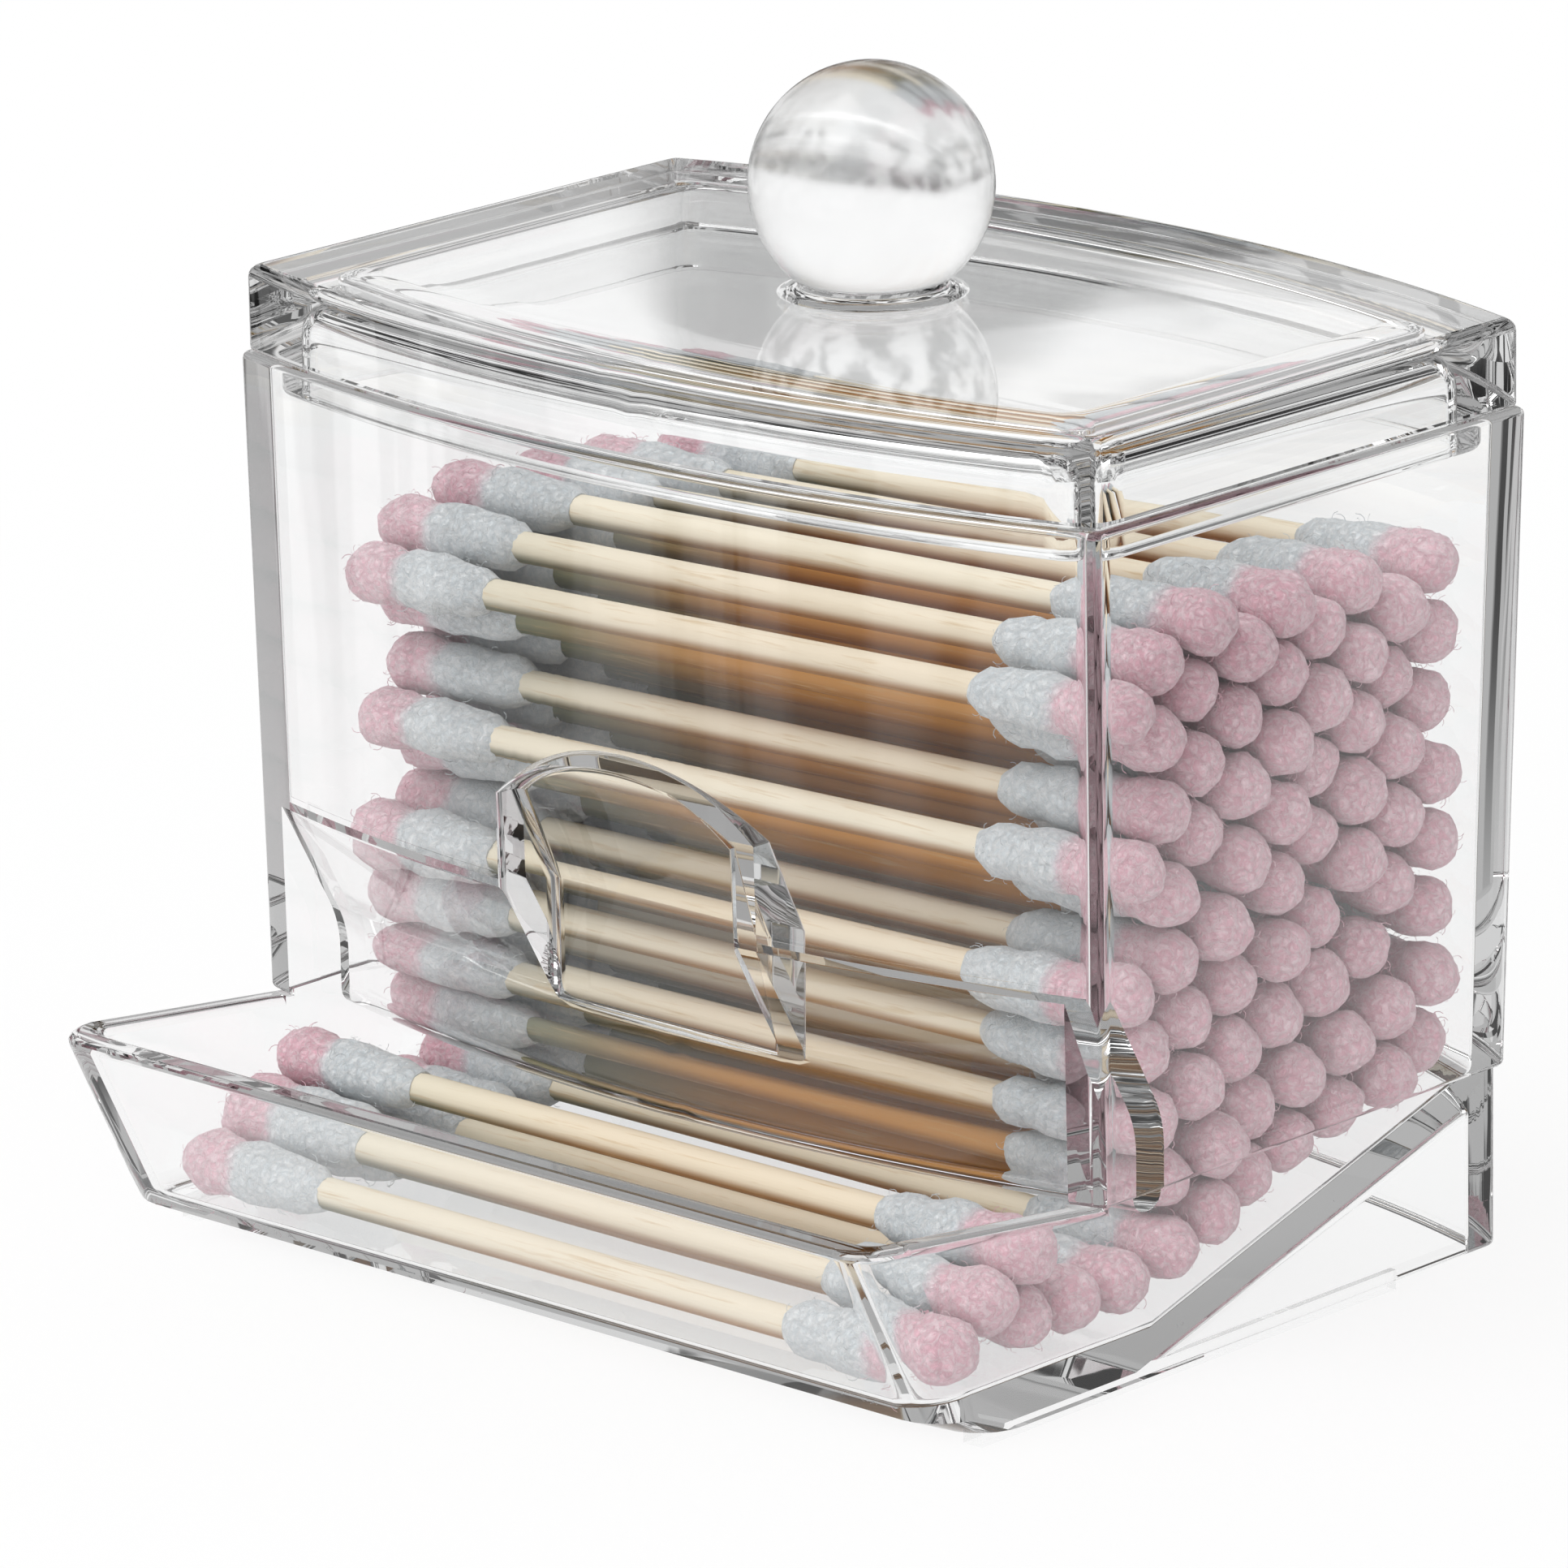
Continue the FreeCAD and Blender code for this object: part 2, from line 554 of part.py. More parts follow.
def make_head():
    """One cotton head, wound over the right-hand end of a stick that lies along X."""
    profile = doc.addObject("Sketcher::SketchObject", "HeadProfile")
    tip, r = "(swab_length / 2)", "head_radius"
    dome = f"({tip} - head_radius)"
    bore = "(stick_radius + stick_fit)"
    corners = [
        (f"({tip} - stick_recess + stick_fit)", "0"),
        (f"({tip} - stick_recess + stick_fit)", bore),
        (f"({tip} - head_length)", bore),
        (f"({tip} - head_length)", "head_neck_radius"),
        (f"({dome} - head_barrel)", r),
        (dome, r),
    ]
    points = [App.Vector(value(x), value(y), 0) for x, y in corners]
    for i in range(len(points) - 1):
        profile.addGeometry(Part.LineSegment(points[i], points[i + 1]))
    end = App.Vector(value(tip), 0, 0)
    reach = value(r) * math.sqrt(0.5)
    dome_arc = profile.addGeometry(Part.Arc(points[-1], App.Vector(value(dome) + reach, reach, 0), end))
    axis = profile.addGeometry(Part.LineSegment(end, points[0]))
    for i in range(len(points) - 2):
        profile.addConstraint(Sketcher.Constraint("Coincident", i, 2, i + 1, 1))
    top_end = 1 if profile.getPoint(dome_arc, 1).y > reach else 2
    profile.addConstraint(Sketcher.Constraint("Coincident", dome_arc - 1, 2, dome_arc, top_end))
    profile.addConstraint(Sketcher.Constraint("Coincident", dome_arc, 3 - top_end, axis, 1))
    profile.addConstraint(Sketcher.Constraint("Coincident", axis, 2, 0, 1))
    for i in range(len(corners)):
        line, point = (i, 1) if i < len(corners) - 1 else (i - 1, 2)
        pin(profile, "DistanceX", line, point, corners[i][0])
        pin(profile, "DistanceY", line, point, corners[i][1])
    pin(profile, "DistanceX", axis, 1, tip)
    pin(profile, "DistanceY", axis, 1, "0")
    index = profile.addConstraint(Sketcher.Constraint("Radius", dome_arc, value(r)))
    bind(profile, f"Constraints[{index}]", r)
    head = doc.addObject("Part::Revolution", "HeadPattern")
    head.Source = profile
    head.Axis = App.Vector(1, 0, 0)
    head.Angle = 360
    head.Solid = True
    return head


def wobble(*numbers):
    """A repeatable number from -1 to 1 for each set of whole numbers."""
    angle = sum(n * k for n, k in zip(numbers, (12.9898, 78.233, 37.719)))
    return 2 * (math.sin(angle) * 43758.5453 % 1) - 1


def end_section():
    """The walls and floors that the swabs meet, as (y, z) lines. The bowed walls are taken where they come
    nearest: at the swabs' ends, and at the middle for the outside of the skirt."""
    x = value("swab_length / 2")
    top, rim = value("body_height"), value("tray_rim_height")
    shoulder, skirt, slot = value("shoulder_height"), value("skirt_height"), value("slot_height")
    floor, foot, behind = value("floor_height"), -value("ramp_start"), value("box_depth")
    bow_front = value(FRONT_CENTRE) - math.sqrt(value(f"{FRONT_RADIUS} - wall") ** 2 - x ** 2)
    bow_rear = value(REAR_CENTRE) + math.sqrt(value(f"{REAR_RADIUS} - wall") ** 2 - x ** 2)
    low_rear = bow_rear - value("rear_lean") * top / (top - rim)
    front = bow_front + value(SHOULDER_LEAN)
    inside = front + value("skirt_setback")
    outside = value(FRONT_CENTRE) - value(FRONT_RADIUS) + value(SHOULDER_LEAN) + value("skirt_setback")
    panel_low = value("tray_wall") - value(tray_panel("floor_height"))
    panel_top = value("tray_wall") - value("lip_reach")
    corners = [
        [(low_rear, 0), (bow_rear, top)],
        [(behind, value(ramp("box_depth"))), (foot, floor), (panel_low, floor),
         (panel_top, value("lip_height"))],
        [(bow_front, top), (front, shoulder), (inside, skirt), (inside, slot), (outside, slot),
         (outside, skirt)],
    ]
    return [line for chain in corners for line in zip(chain, chain[1:])]


def distance_to_line(point, line):
    (ay, az), (by, bz) = line
    run, rise = by - ay, bz - az
    share = ((point[0] - ay) * run + (point[1] - az) * rise) / (run ** 2 + rise ** 2)
    share = min(max(share, 0), 1)
    return math.hypot(point[0] - ay - share * run, point[1] - az - share * rise)


def beside_line(line, reach):
    """A line moved sideways by reach, as a point and a direction."""
    (ay, az), (by, bz) = line
    length = math.hypot(by - ay, bz - az)
    along = ((by - ay) / length, (bz - az) / length)
    return (ay - along[1] * reach, az + along[0] * reach), along


def meeting_of_lines(first, second):
    (py, pz), (uy, uz) = first
    (qy, qz), (vy, vz) = second
    cross = uy * vz - uz * vy
    if abs(cross) < 1e-9:
        return []
    share = ((qy - py) * vz - (qz - pz) * vy) / cross
    return [(py + share * uy, pz + share * uz)]


def meeting_of_line_and_circle(line, centre, reach):
    (py, pz), (uy, uz) = line
    middle = (centre[0] - py) * uy + (centre[1] - pz) * uz
    away = math.hypot(py + middle * uy - centre[0], pz + middle * uz - centre[1])
    if away > reach:
        return []
    half = math.sqrt(reach ** 2 - away ** 2)
    return [(py + share * uy, pz + share * uz) for share in (middle - half, middle + half)]


def meeting_of_circles(first, second, reach):
    run, rise = second[0] - first[0], second[1] - first[1]
    gap = math.hypot(run, rise)
    if gap > 2 * reach or gap < 1e-9:
        return []
    lift = math.sqrt(reach ** 2 - gap ** 2 / 4) / gap
    middle = ((first[0] + second[0]) / 2, (first[1] + second[1]) / 2)
    return [(middle[0] - side * rise * lift, middle[1] + side * run * lift) for side in (-1, 1)]


def highest(y, front, numbers):
    """How high a swab may lie: up to the pile's height in the box, and less and less out in the tray."""
    spill = numbers["spill"] + (y - front) * numbers["spill_rise"]
    return numbers["pile"] if y > front else min(spill, numbers["pile"])


def settled_places():
    """Where swabs come to rest in the end section, as (y, z). Each one lies in the rearmost hollow left
    between the walls, the floors and the swabs already there, so the pile grows in upright rows from the
    rear wall to the tray."""
    lines = end_section()
    rest = value("head_radius + swab_gap / 2")
    apart = value("2 * head_radius + swab_gap")
    slack, slant = value("swab_slack"), value("settling_slant")
    slope = math.tan(math.radians(value("ramp_slope")))
    floor, foot, tilt = value("floor_height"), -value("ramp_start"), value("pile_tilt")
    numbers = {"pile": value("pile_height"), "spill": value("spill_height"),
               "spill_rise": math.tan(math.radians(value("spill_slope")))}
    (inside, skirt), (_, slot) = lines[6]
    (panel_low, _), (panel_top, lip) = lines[3]
    rear_low, rear_top = lines[0]

    def fits(place, taken):
        y, z = place
        right_z = z + tilt * (z - floor - rest)
        rear = rear_low[0] + (rear_top[0] - rear_low[0]) * z / rear_top[1]
        if y > rear or z < max(floor, floor + (y - foot) * slope):
            return False
        if y < panel_low + (panel_top - panel_low) * (z - floor) / (lip - floor):
            return False
        if z > slot and y < inside and not z > skirt:
            return False
        if z > skirt and any(lines[k][0][1] >= z >= lines[k][1][1] and y < lines[k][1][0] for k in (4, 5)):
            return False
        if max(z, right_z) > highest(y, inside, numbers):
            return False
        if any(distance_to_line((y, level), line) < rest - 1e-6 for line in lines for level in (z, right_z)):
            return False
        return all(math.hypot(y - ty, z - tz) >= apart - 1e-6 for ty, tz in taken)

    offsets = [beside_line(line, side * rest) for line in lines for side in (-1, 1)]
    hollows = [place for i, first in enumerate(offsets) for second in offsets[:i]
               for place in meeting_of_lines(first, second)]
    taken = []
    while True:
        hollows = [place for place in hollows if fits(place, taken)]
        if not hollows:
            return taken
        place = min(hollows, key=lambda spot: slant * spot[1] - spot[0])
        reach = apart + slack * abs(wobble(len(taken), 3, 1))
        for line in offsets:
            hollows += meeting_of_line_and_circle(line, place, reach)
        for other in taken:
            if math.hypot(other[0] - place[0], other[1] - place[1]) < 2 * reach:
                hollows += meeting_of_circles(place, other, reach)
        taken.append(place)


def swab_ends(place, number):
    """The middles of a swab's two ends: the pile lies a little higher at the right."""
    y, z = place
    half = value("swab_length / 2")
    room = value(f"{LOW_INNER_HALF} - swab_end_gap - swab_length / 2")
    slide = min(value("swab_scatter"), room) * wobble(number, 7, 2)
    lift = value("pile_tilt") * (z - value("floor_height + head_radius + swab_gap / 2"))
    return App.Vector(slide - half, y, z), App.Vector(slide + half, y, z + lift)


def lay_swabs(stick, head, label, all_ends):
    """Copies of the stick and of its two heads at each pair of ends, as one group of sticks and one of
    heads. A group of loose copies has no feature of its own, so its shape is put together here."""
    sticks, heads = [], []
    for left, right in all_ends:
        place = App.Placement((left + right) / 2, App.Rotation(App.Vector(1, 0, 0), right - left))
        turn_round = App.Placement(App.Vector(), App.Rotation(App.Vector(0, 0, 1), 180))
        sticks.append(stick.Shape.transformed(place.Matrix))
        heads.append(head.Shape.transformed(place.Matrix))
        heads.append(head.Shape.transformed((place * turn_round).Matrix))
    groups = []
    for kind, shapes in (("sticks", sticks), ("heads", heads)):
        group = doc.addObject("Part::Feature", f"{kind}_{label}")
        group.Shape = Part.makeCompound(shapes)
        groups.append(finish(group, f"{kind}_{label}"))
    return groups


def make_swabs():
    stick, head = make_stick(), make_head()
    doc.recompute()
    inside = end_section()[6][0][0]
    lowest = value("floor_height + head_radius")
    layers = {}
    for number, (y, z) in enumerate(settled_places()):
        layer = 1 + round((z - lowest) / value(LAYER_PITCH))
        label = "in_tray" if y < inside else f"layer_{layer:02d}"
        layers.setdefault(label, []).append(swab_ends((y, z), number))
    groups = []
    for label in sorted(layers):
        groups += lay_swabs(stick, head, label, layers[label])
    return groups


# ---- build, check, write ----------------------------------------------------------------------------

pieces = [make_body(), make_lid(), make_knob()] + make_swabs()
doc.recompute()

for thing in doc.Objects:
    faults = [state for state in thing.State if state in ("Invalid", "Error")]
    if faults:
        raise RuntimeError(f"{thing.Name} failed: {faults}")

os.makedirs("parts", exist_ok=True)
for piece in pieces:
    shape = piece.Shape
    if shape.isNull() or not shape.isValid():
        raise RuntimeError(f"{piece.Label} has no valid shape")
    shape.exportStep(f"parts/{piece.Label}.step")
    box = shape.BoundBox
    print(f"{piece.Label:18s} solids {len(shape.Solids):3d}  volume {shape.Volume:9.1f}  "
          f"x {box.XMin:.1f}..{box.XMax:.1f}  y {box.YMin:.1f}..{box.YMax:.1f}  z {box.ZMin:.1f}..{box.ZMax:.1f}")
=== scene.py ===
import math
import random
import bmesh
import bpy
from mathutils import Matrix, Vector


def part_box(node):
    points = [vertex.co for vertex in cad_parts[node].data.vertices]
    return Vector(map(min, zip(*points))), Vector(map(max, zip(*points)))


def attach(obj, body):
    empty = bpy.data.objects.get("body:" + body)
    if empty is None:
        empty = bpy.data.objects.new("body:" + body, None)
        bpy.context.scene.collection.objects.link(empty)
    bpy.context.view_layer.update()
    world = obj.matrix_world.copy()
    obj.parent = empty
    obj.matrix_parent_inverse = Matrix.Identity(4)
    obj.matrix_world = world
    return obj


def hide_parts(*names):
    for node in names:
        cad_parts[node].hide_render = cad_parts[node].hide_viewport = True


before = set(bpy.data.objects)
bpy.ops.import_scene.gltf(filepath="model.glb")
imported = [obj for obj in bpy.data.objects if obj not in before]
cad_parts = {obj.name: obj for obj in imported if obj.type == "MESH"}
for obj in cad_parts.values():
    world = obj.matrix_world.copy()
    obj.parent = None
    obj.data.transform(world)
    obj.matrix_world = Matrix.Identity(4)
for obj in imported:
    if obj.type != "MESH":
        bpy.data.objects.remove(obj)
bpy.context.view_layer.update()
mm = 0.001
print("frame loaded:", len(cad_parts), "nodes")

scene = bpy.context.scene
scene.view_settings.view_transform = "Standard"
scene.cycles.transparent_max_bounces = 16
scene.cycles.transmission_bounces = 15
scene.cycles.max_bounces = 18
scene.cycles.glossy_bounces = 7
scene.cycles.diffuse_bounces = 3


def newObject(name, mesh):
    obj = bpy.data.objects.new(name, mesh)
    scene.collection.objects.link(obj)
    return obj


def objectFrom(form, name):
    mesh = bpy.data.meshes.new(name)
    form.to_mesh(mesh)
    form.free()
    return newObject(name, mesh)


def settle(obj, name):
    # turns what the modifiers make into the object's own mesh
    depsgraph = bpy.context.evaluated_depsgraph_get()
    mesh = bpy.data.meshes.new_from_object(obj.evaluated_get(depsgraph), depsgraph=depsgraph)
    mesh.name = name
    obj.modifiers.clear()
    obj.data = mesh


def setInputs(tree, node, inputs):
    # a socket given as a value is linked, and anything else is set
    for name, value in inputs.items():
        if isinstance(value, bpy.types.NodeSocket):
            tree.links.new(value, node.inputs[name])
        else:
            node.inputs[name].default_value = value


def addNode(tree, kind, inputs=None, **settings):
    node = tree.nodes.new(kind)
    for key, value in settings.items():
        setattr(node, key, value)
    setInputs(tree, node, inputs or {})
    return node


def mathNode(tree, operation, *values):
    return addNode(tree, "ShaderNodeMath", dict(enumerate(values)), operation=operation).outputs[0]


def mixColour(tree, factor, first, second):
    return addNode(tree, "ShaderNodeMix", {0: factor, 6: first, 7: second}, data_type="RGBA").outputs[2]


def mixNumber(tree, factor, first, second):
    return addNode(tree, "ShaderNodeMix", {0: factor, 2: first, 3: second}, data_type="FLOAT").outputs[0]


def mixShader(tree, factor, first, second):
    return addNode(tree, "ShaderNodeMixShader", {0: factor, 1: first, 2: second}).outputs[0]


def noise(tree, vector, scale, detail, **more):
    inputs = {"Vector": vector, "Scale": scale, "Detail": detail, **more}
    return addNode(tree, "ShaderNodeTexNoise", inputs).outputs["Fac"]


def ranged(tree, value, low, high, toLow=0.0, toHigh=1.0, kind="SMOOTHSTEP"):
    inputs = {"Value": value, "From Min": low, "From Max": high, "To Min": toLow, "To Max": toHigh}
    return addNode(tree, "ShaderNodeMapRange", inputs, interpolation_type=kind).outputs[0]


def addRelief(tree, shader, height, spec):
    inputs = {"Height": height, "Strength": spec["relief"], "Distance": spec["reliefDepth"]}
    tree.links.new(addNode(tree, "ShaderNodeBump", inputs).outputs["Normal"], shader.inputs["Normal"])


def newMaterial(name):
    material = bpy.data.materials.new(name)
    material.use_nodes = True
    tree = material.node_tree
    return material, tree, tree.nodes["Principled BSDF"], addNode(tree, "ShaderNodeTexCoord").outputs


def showShader(tree, shader):
    tree.links.new(shader, tree.nodes["Material Output"].inputs["Surface"])


viewpoint = {
    "azimuth": 43.12,
    "elevation": 16.09,
    "roll": -1.0,
    "distance": 0.852,
    "lens": 257.2,
    "sensor": 36,
    "near": 0.05,
    "far": 20,
    "target": (-0.0009, -0.0015, 0.0368),
}


def lookAlong(way):
    return way.to_track_quat("-Z", "Y").to_matrix().to_4x4()


def makeCamera(view):
    turn, lift = math.radians(view["azimuth"]), math.radians(view["elevation"])
    away = Vector((math.sin(turn) * math.cos(lift), -math.cos(turn) * math.cos(lift), math.sin(lift)))
    data = bpy.data.cameras.new("camera")
    data.lens, data.sensor_width = view["lens"], view["sensor"]
    data.clip_start, data.clip_end = view["near"], view["far"]
    camera = newObject("camera", data)
    place = Matrix.Translation(Vector(view["target"]) + away * view["distance"])
    camera.matrix_world = place @ lookAlong(-away) @ Matrix.Rotation(math.radians(view["roll"]), 4, "Z")
    scene.camera = camera


makeCamera(viewpoint)
print("camera set")


clearPlastic = {
    "bendOfLight": 1.49,
    "tint": (0.992, 0.995, 0.995, 1),
    "smudgeScale": 90.0,
    "smudgeFrom": 0.62,         # only the patches where the noise is above this have lost their polish
    "smudgeTo": 0.85,
    "smudge": 0.06,
    "dullness": 0.0,
    "rippleScale": 45.0,
    "relief": 0.011,
    "reliefDepth": 0.001,
    "passing": (0.98, 0.98, 0.98, 1),
    "letOut": 5.5,              # reflections, after which light held in a wall is let out
}


def clearMaterial(name, spec):
    material, tree, shader, coords = newMaterial(name)
    polish = ranged(tree, noise(tree, coords["Object"], spec["smudgeScale"], 1), spec["smudgeFrom"],
                    spec["smudgeTo"], spec["dullness"], spec["dullness"] + spec["smudge"], "LINEAR")
    setInputs(tree, shader, {"Base Color": spec["tint"], "Transmission Weight": 1.0,
                             "IOR": spec["bendOfLight"], "Roughness": polish})
    addRelief(tree, shader, noise(tree, coords["Object"], spec["rippleScale"], 2), spec)
    # lamps and bounced light reach what is inside as they do through a real clear wall
    rays = addNode(tree, "ShaderNodeLightPath").outputs
    matt = mathNode(tree, "MAXIMUM", rays["Is Shadow Ray"], rays["Is Diffuse Ray"])
    held = mathNode(tree, "GREATER_THAN", rays["Glossy Depth"], spec["letOut"])
    through = addNode(tree, "ShaderNodeBsdfTransparent", {"Color": spec["passing"]}).outputs[0]
    showShader(tree, mixShader(tree, mathNode(tree, "MAXIMUM", matt, held), shader.outputs[0], through))
    return material


clearShell = clearMaterial("clear moulded plastic", clearPlastic)


clearBox = {
    "width": 88.0, "depth": 48.4, "frontBow": 6.4, "rearBow": 7.6, "wall": 3.0, "top": 66.8, "rim": 15.5,
    "sideDraft": 0.5, "frontLean": 0.8, "rearLean": 2.0, "baseStep": 0.6, "foot": 1.1,
    "shoulder": 31.0, "skirtKnee": 20.4, "kneeBend": 2.2, "skirtSetback": 6.0, "skirtRound": 1.3,
    "slot": 13.5, "slotFoot": 12.0, "slotDepth": 10.0,
    "recessHalf": 11.8, "recessSpring": 38.5, "recessCrown": 42.6, "recessKnee": 30.7, "recessSlope": 65.0,
    "recessRound": 0.4, "recessWall": 0.9, "recessLift": 0.3, "backingLeast": 0.7,
    "floor": 4.2, "rampStart": -16.5, "rampSlope": 16.4, "rampSlab": 2.5,
    "soleReach": 36.5, "bandReach": 41.0, "bandTop": 3.0, "panelReach": 42.3, "panelFoot": 5.4,
    "lipReach": 48.5, "lip": 17.8, "lipLand": 44.0, "trayCorner": 4.0, "flareGap": 1.4, "flareStart": 0.4,
    "railWidth": 1.8, "railInset": 1.2, "railFront": 1.0, "railRear": 11.5,
    "cornerRound": 0.8, "edgeRound": 0.5, "hollowRound": 0.8, "rimRound": 0.8,
    # two rings on the way up the chamber: their share of the draft, and of the height
    "chamberRings": ((0.7, 0.37), (0.35, 0.685)),
    # how far blocks run into each other, and cutters past what they cut or short of it
    "overlap": 2.0, "skirtOverlap": 1.0, "sink": 0.5, "backingSink": 1.0, "hair": 0.03, "sliver": 0.02,
    "shyOfRamp": 0.5, "flareTop": 4.0, "recessFront": -60.0,
}
outlineSteps = {"bow": 26, "corner": 6, "edge": 5, "knee": 6, "front": 64, "arch": 30, "pad": 32}
smoothing = {"sharpAngle": 19.5, "sliver": 1e-7}


def bowCircle(depth, bow, half, way):
    radius = (half ** 2 + bow ** 2) / (2 * bow)
    return way * (depth / 2 + bow - radius), radius


def boxOutline(spec, half, inset, lean, corner, stop=None):
    # the right half of the bowed outline, from the middle of the front to the middle of the back
    sides = []
    for way, face in ((-1, "front"), (1, "rear")):
        centre, radius = bowCircle(spec["depth"], spec[face + "Bow"], spec["width"] / 2, way)
        centre -= way * spec[face + "Lean"] * lean
        radius -= inset
        cornerY = centre + way * math.sqrt((radius - corner) ** 2 - (half - corner) ** 2)
        turn = math.atan2(half - corner, way * (cornerY - centre))
        steps = outlineSteps["bow"]
        side = [(radius * math.sin(turn * k / steps), centre + way * radius * math.cos(turn * k / steps))
                for k in range(steps + 1)]
        for k in range(1, outlineSteps["corner"] + 1):
            angle = turn + (math.pi / 2 - turn) * k / outlineSteps["corner"]
            across = half - corner + corner * math.sin(angle)
            side.append((across, cornerY + way * corner * math.cos(angle)))
        sides.append(side)
    middle = [] if stop is None else [(half, stop)]
    return sides[0] + middle + sides[1][::-1]


def quarterTurn(steps):
    angles = [math.pi / 2 * k / steps for k in range(steps + 1)]
    return [(math.sin(angle), math.cos(angle)) for angle in angles]


def trayOutline(reach, half, corner, stop, rear):
    rounding = [(half - corner + corner * sine, -reach + corner - corner * cosine)
                for sine, cosine in quarterTurn(outlineSteps["corner"])]
    return [(0, -reach)] + rounding + [(half, stop), (half, rear), (0, rear)]


def lowEdge(low, radius):
    # heights and draw-in of a rounded lower edge
    return [(low + radius * (1 - cosine), radius * (1 - sine))
            for sine, cosine in quarterTurn(outlineSteps["edge"])]


def highEdge(high, radius):
    return [(high - radius + radius * sine, radius * (1 - cosine))
            for sine, cosine in quarterTurn(outlineSteps["edge"])]


def atHeight(outline, z):
    return [(x, y, z) for x, y in outline]


def closedSolid(form, name):
    bmesh.ops.triangulate(form, faces=form.faces)
    bmesh.ops.recalc_face_normals(form, faces=form.faces)
    return objectFrom(form, name)


def stackedSolid(name, rings):
    # closes half outlines and their mirror images into one solid; each begins and ends on the middle plane
    form = bmesh.new()
    loops = []
    for ring in rings:
        right = [form.verts.new(point) for point in ring]
        left = [right[0]] + [form.verts.new((-x, y, z)) for x, y, z in ring[1:-1]] + [right[-1]]
        loops.append((right, left))
    for (rightLow, leftLow), (rightHigh, leftHigh) in zip(loops, loops[1:]):
        for k in range(len(rightLow) - 1):
            form.faces.new((rightLow[k], rightLow[k + 1], rightHigh[k + 1], rightHigh[k]))
            form.faces.new((leftLow[k + 1], leftLow[k], leftHigh[k], leftHigh[k + 1]))
    for right, left in (loops[0], loops[-1]):
        for k in range(len(right) - 1):
            form.faces.new(list(dict.fromkeys((right[k], right[k + 1], left[k + 1], left[k]))))
    return closedSolid(form, name)


def combined(name, base, steps):
    # booleans in turn: "UNION" adds a block and "DIFFERENCE" cuts one away
    for operation, tool in steps:
        label = tool.name
        change = base.modifiers.new(label, "BOOLEAN")
        change.solver = "MANIFOLD"
        change.operation = operation
        change.object = tool
        settle(base, name)
        bpy.data.objects.remove(tool)
        print("  ", operation.lower(), label, len(base.data.polygons), "faces")
    base.name = name
    return base


def polished(obj, shift, spec, material):
    # to metres and to the frame's own origin, with even shading over the flats
    obj.data.transform(Matrix.Scale(mm, 4) @ Matrix.Translation((0, shift, 0)))
    form = bmesh.new()
    form.from_mesh(obj.data)
    bmesh.ops.dissolve_degenerate(form, dist=spec["sliver"], edges=form.edges)
    form.to_mesh(obj.data)
    form.free()
    obj.data.shade_smooth()
    obj.data.set_sharp_from_angle(angle=math.radians(spec["sharpAngle"]))
    obj.modifiers.new("even", "WEIGHTED_NORMAL").keep_sharp = True
    settle(obj, obj.name)
    obj.data.materials.clear()
    obj.data.materials.append(material)
    for face in obj.data.polygons:
        face.material_index = 0
    return obj


def measured(spec):
    # adds the sizes that follow from the others
    half = spec["width"] / 2
    centre, radius = bowCircle(spec["depth"], spec["frontBow"], half, -1)
    return {
        **spec, "frontCentre": centre, "frontRadius": radius,
        "trayHalf": half - spec["sideDraft"] - spec["baseStep"],
        "innerHalf": half - spec["sideDraft"] - spec["wall"],
        "boxCorner": -spec["depth"] / 2 + spec["frontLean"],
        "shoulderLean": spec["frontLean"] * leanAt(spec, spec["shoulder"]),
        "slope": math.tan(math.radians(spec["rampSlope"])),
    }


def leanAt(box, z):
    # the share of the walls' draft that a height has: none at the top, all from the tray's rim down
    return min((box["top"] - z) / (box["top"] - box["rim"]), 1)


def floorAt(box, y):
    return box["floor"] + max(y - box["rampStart"], 0) * box["slope"]


def rimAt(box, y):
    # the tray's rim climbs from the box to the lip
    share = (box["boxCorner"] - y) / (box["lipLand"] + box["boxCorner"])
    return box["rim"] + (box["lip"] - box["rim"]) * min(max(share, 0), 1)


def panelAt(box, z):
    rise = (z - box["panelFoot"]) / (box["lip"] - box["panelFoot"])
    return box["panelReach"] + (box["lipReach"] - box["panelReach"]) * rise


def wallOutline(box, inset, lean):
    half = box["width"] / 2 - box["sideDraft"] * lean - inset
    return boxOutline(box, half, inset, lean, box["cornerRound"], box["rampStart"])


def makeUpper(box):
    levels = lowEdge(box["rim"], box["edgeRound"]) + highEdge(box["top"], box["edgeRound"])
    return stackedSolid("upper", [atHeight(wallOutline(box, inset, leanAt(box, z)), z)
                                  for z, inset in levels])


def makeBase(box):
    levels = lowEdge(box["foot"], box["edgeRound"]) + [(box["rim"] + box["overlap"], 0)]
    return stackedSolid("base", [atHeight(wallOutline(box, box["baseStep"] + inset, 1), z)
                                 for z, inset in levels])


def makeTray(box):
    # a leaning panel on a narrower sole
    half, corner, stop, rear = box["trayHalf"], box["trayCorner"], box["boxCorner"], -box["depth"] / 4
    rings = [atHeight(trayOutline(box[reach], half, corner, stop, rear), box[z]) for z, reach in (
        ("foot", "soleReach"), ("bandTop", "bandReach"), ("panelFoot", "panelReach"))]
    for drop, inset in highEdge(0, box["rimRound"]):
        outline = trayOutline(panelAt(box, box["lip"] + drop) - inset, half - inset, corner, stop, rear)
        rings.append([(x, y, rimAt(box, y) + drop) for x, y in outline])
    return stackedSolid("tray", rings)


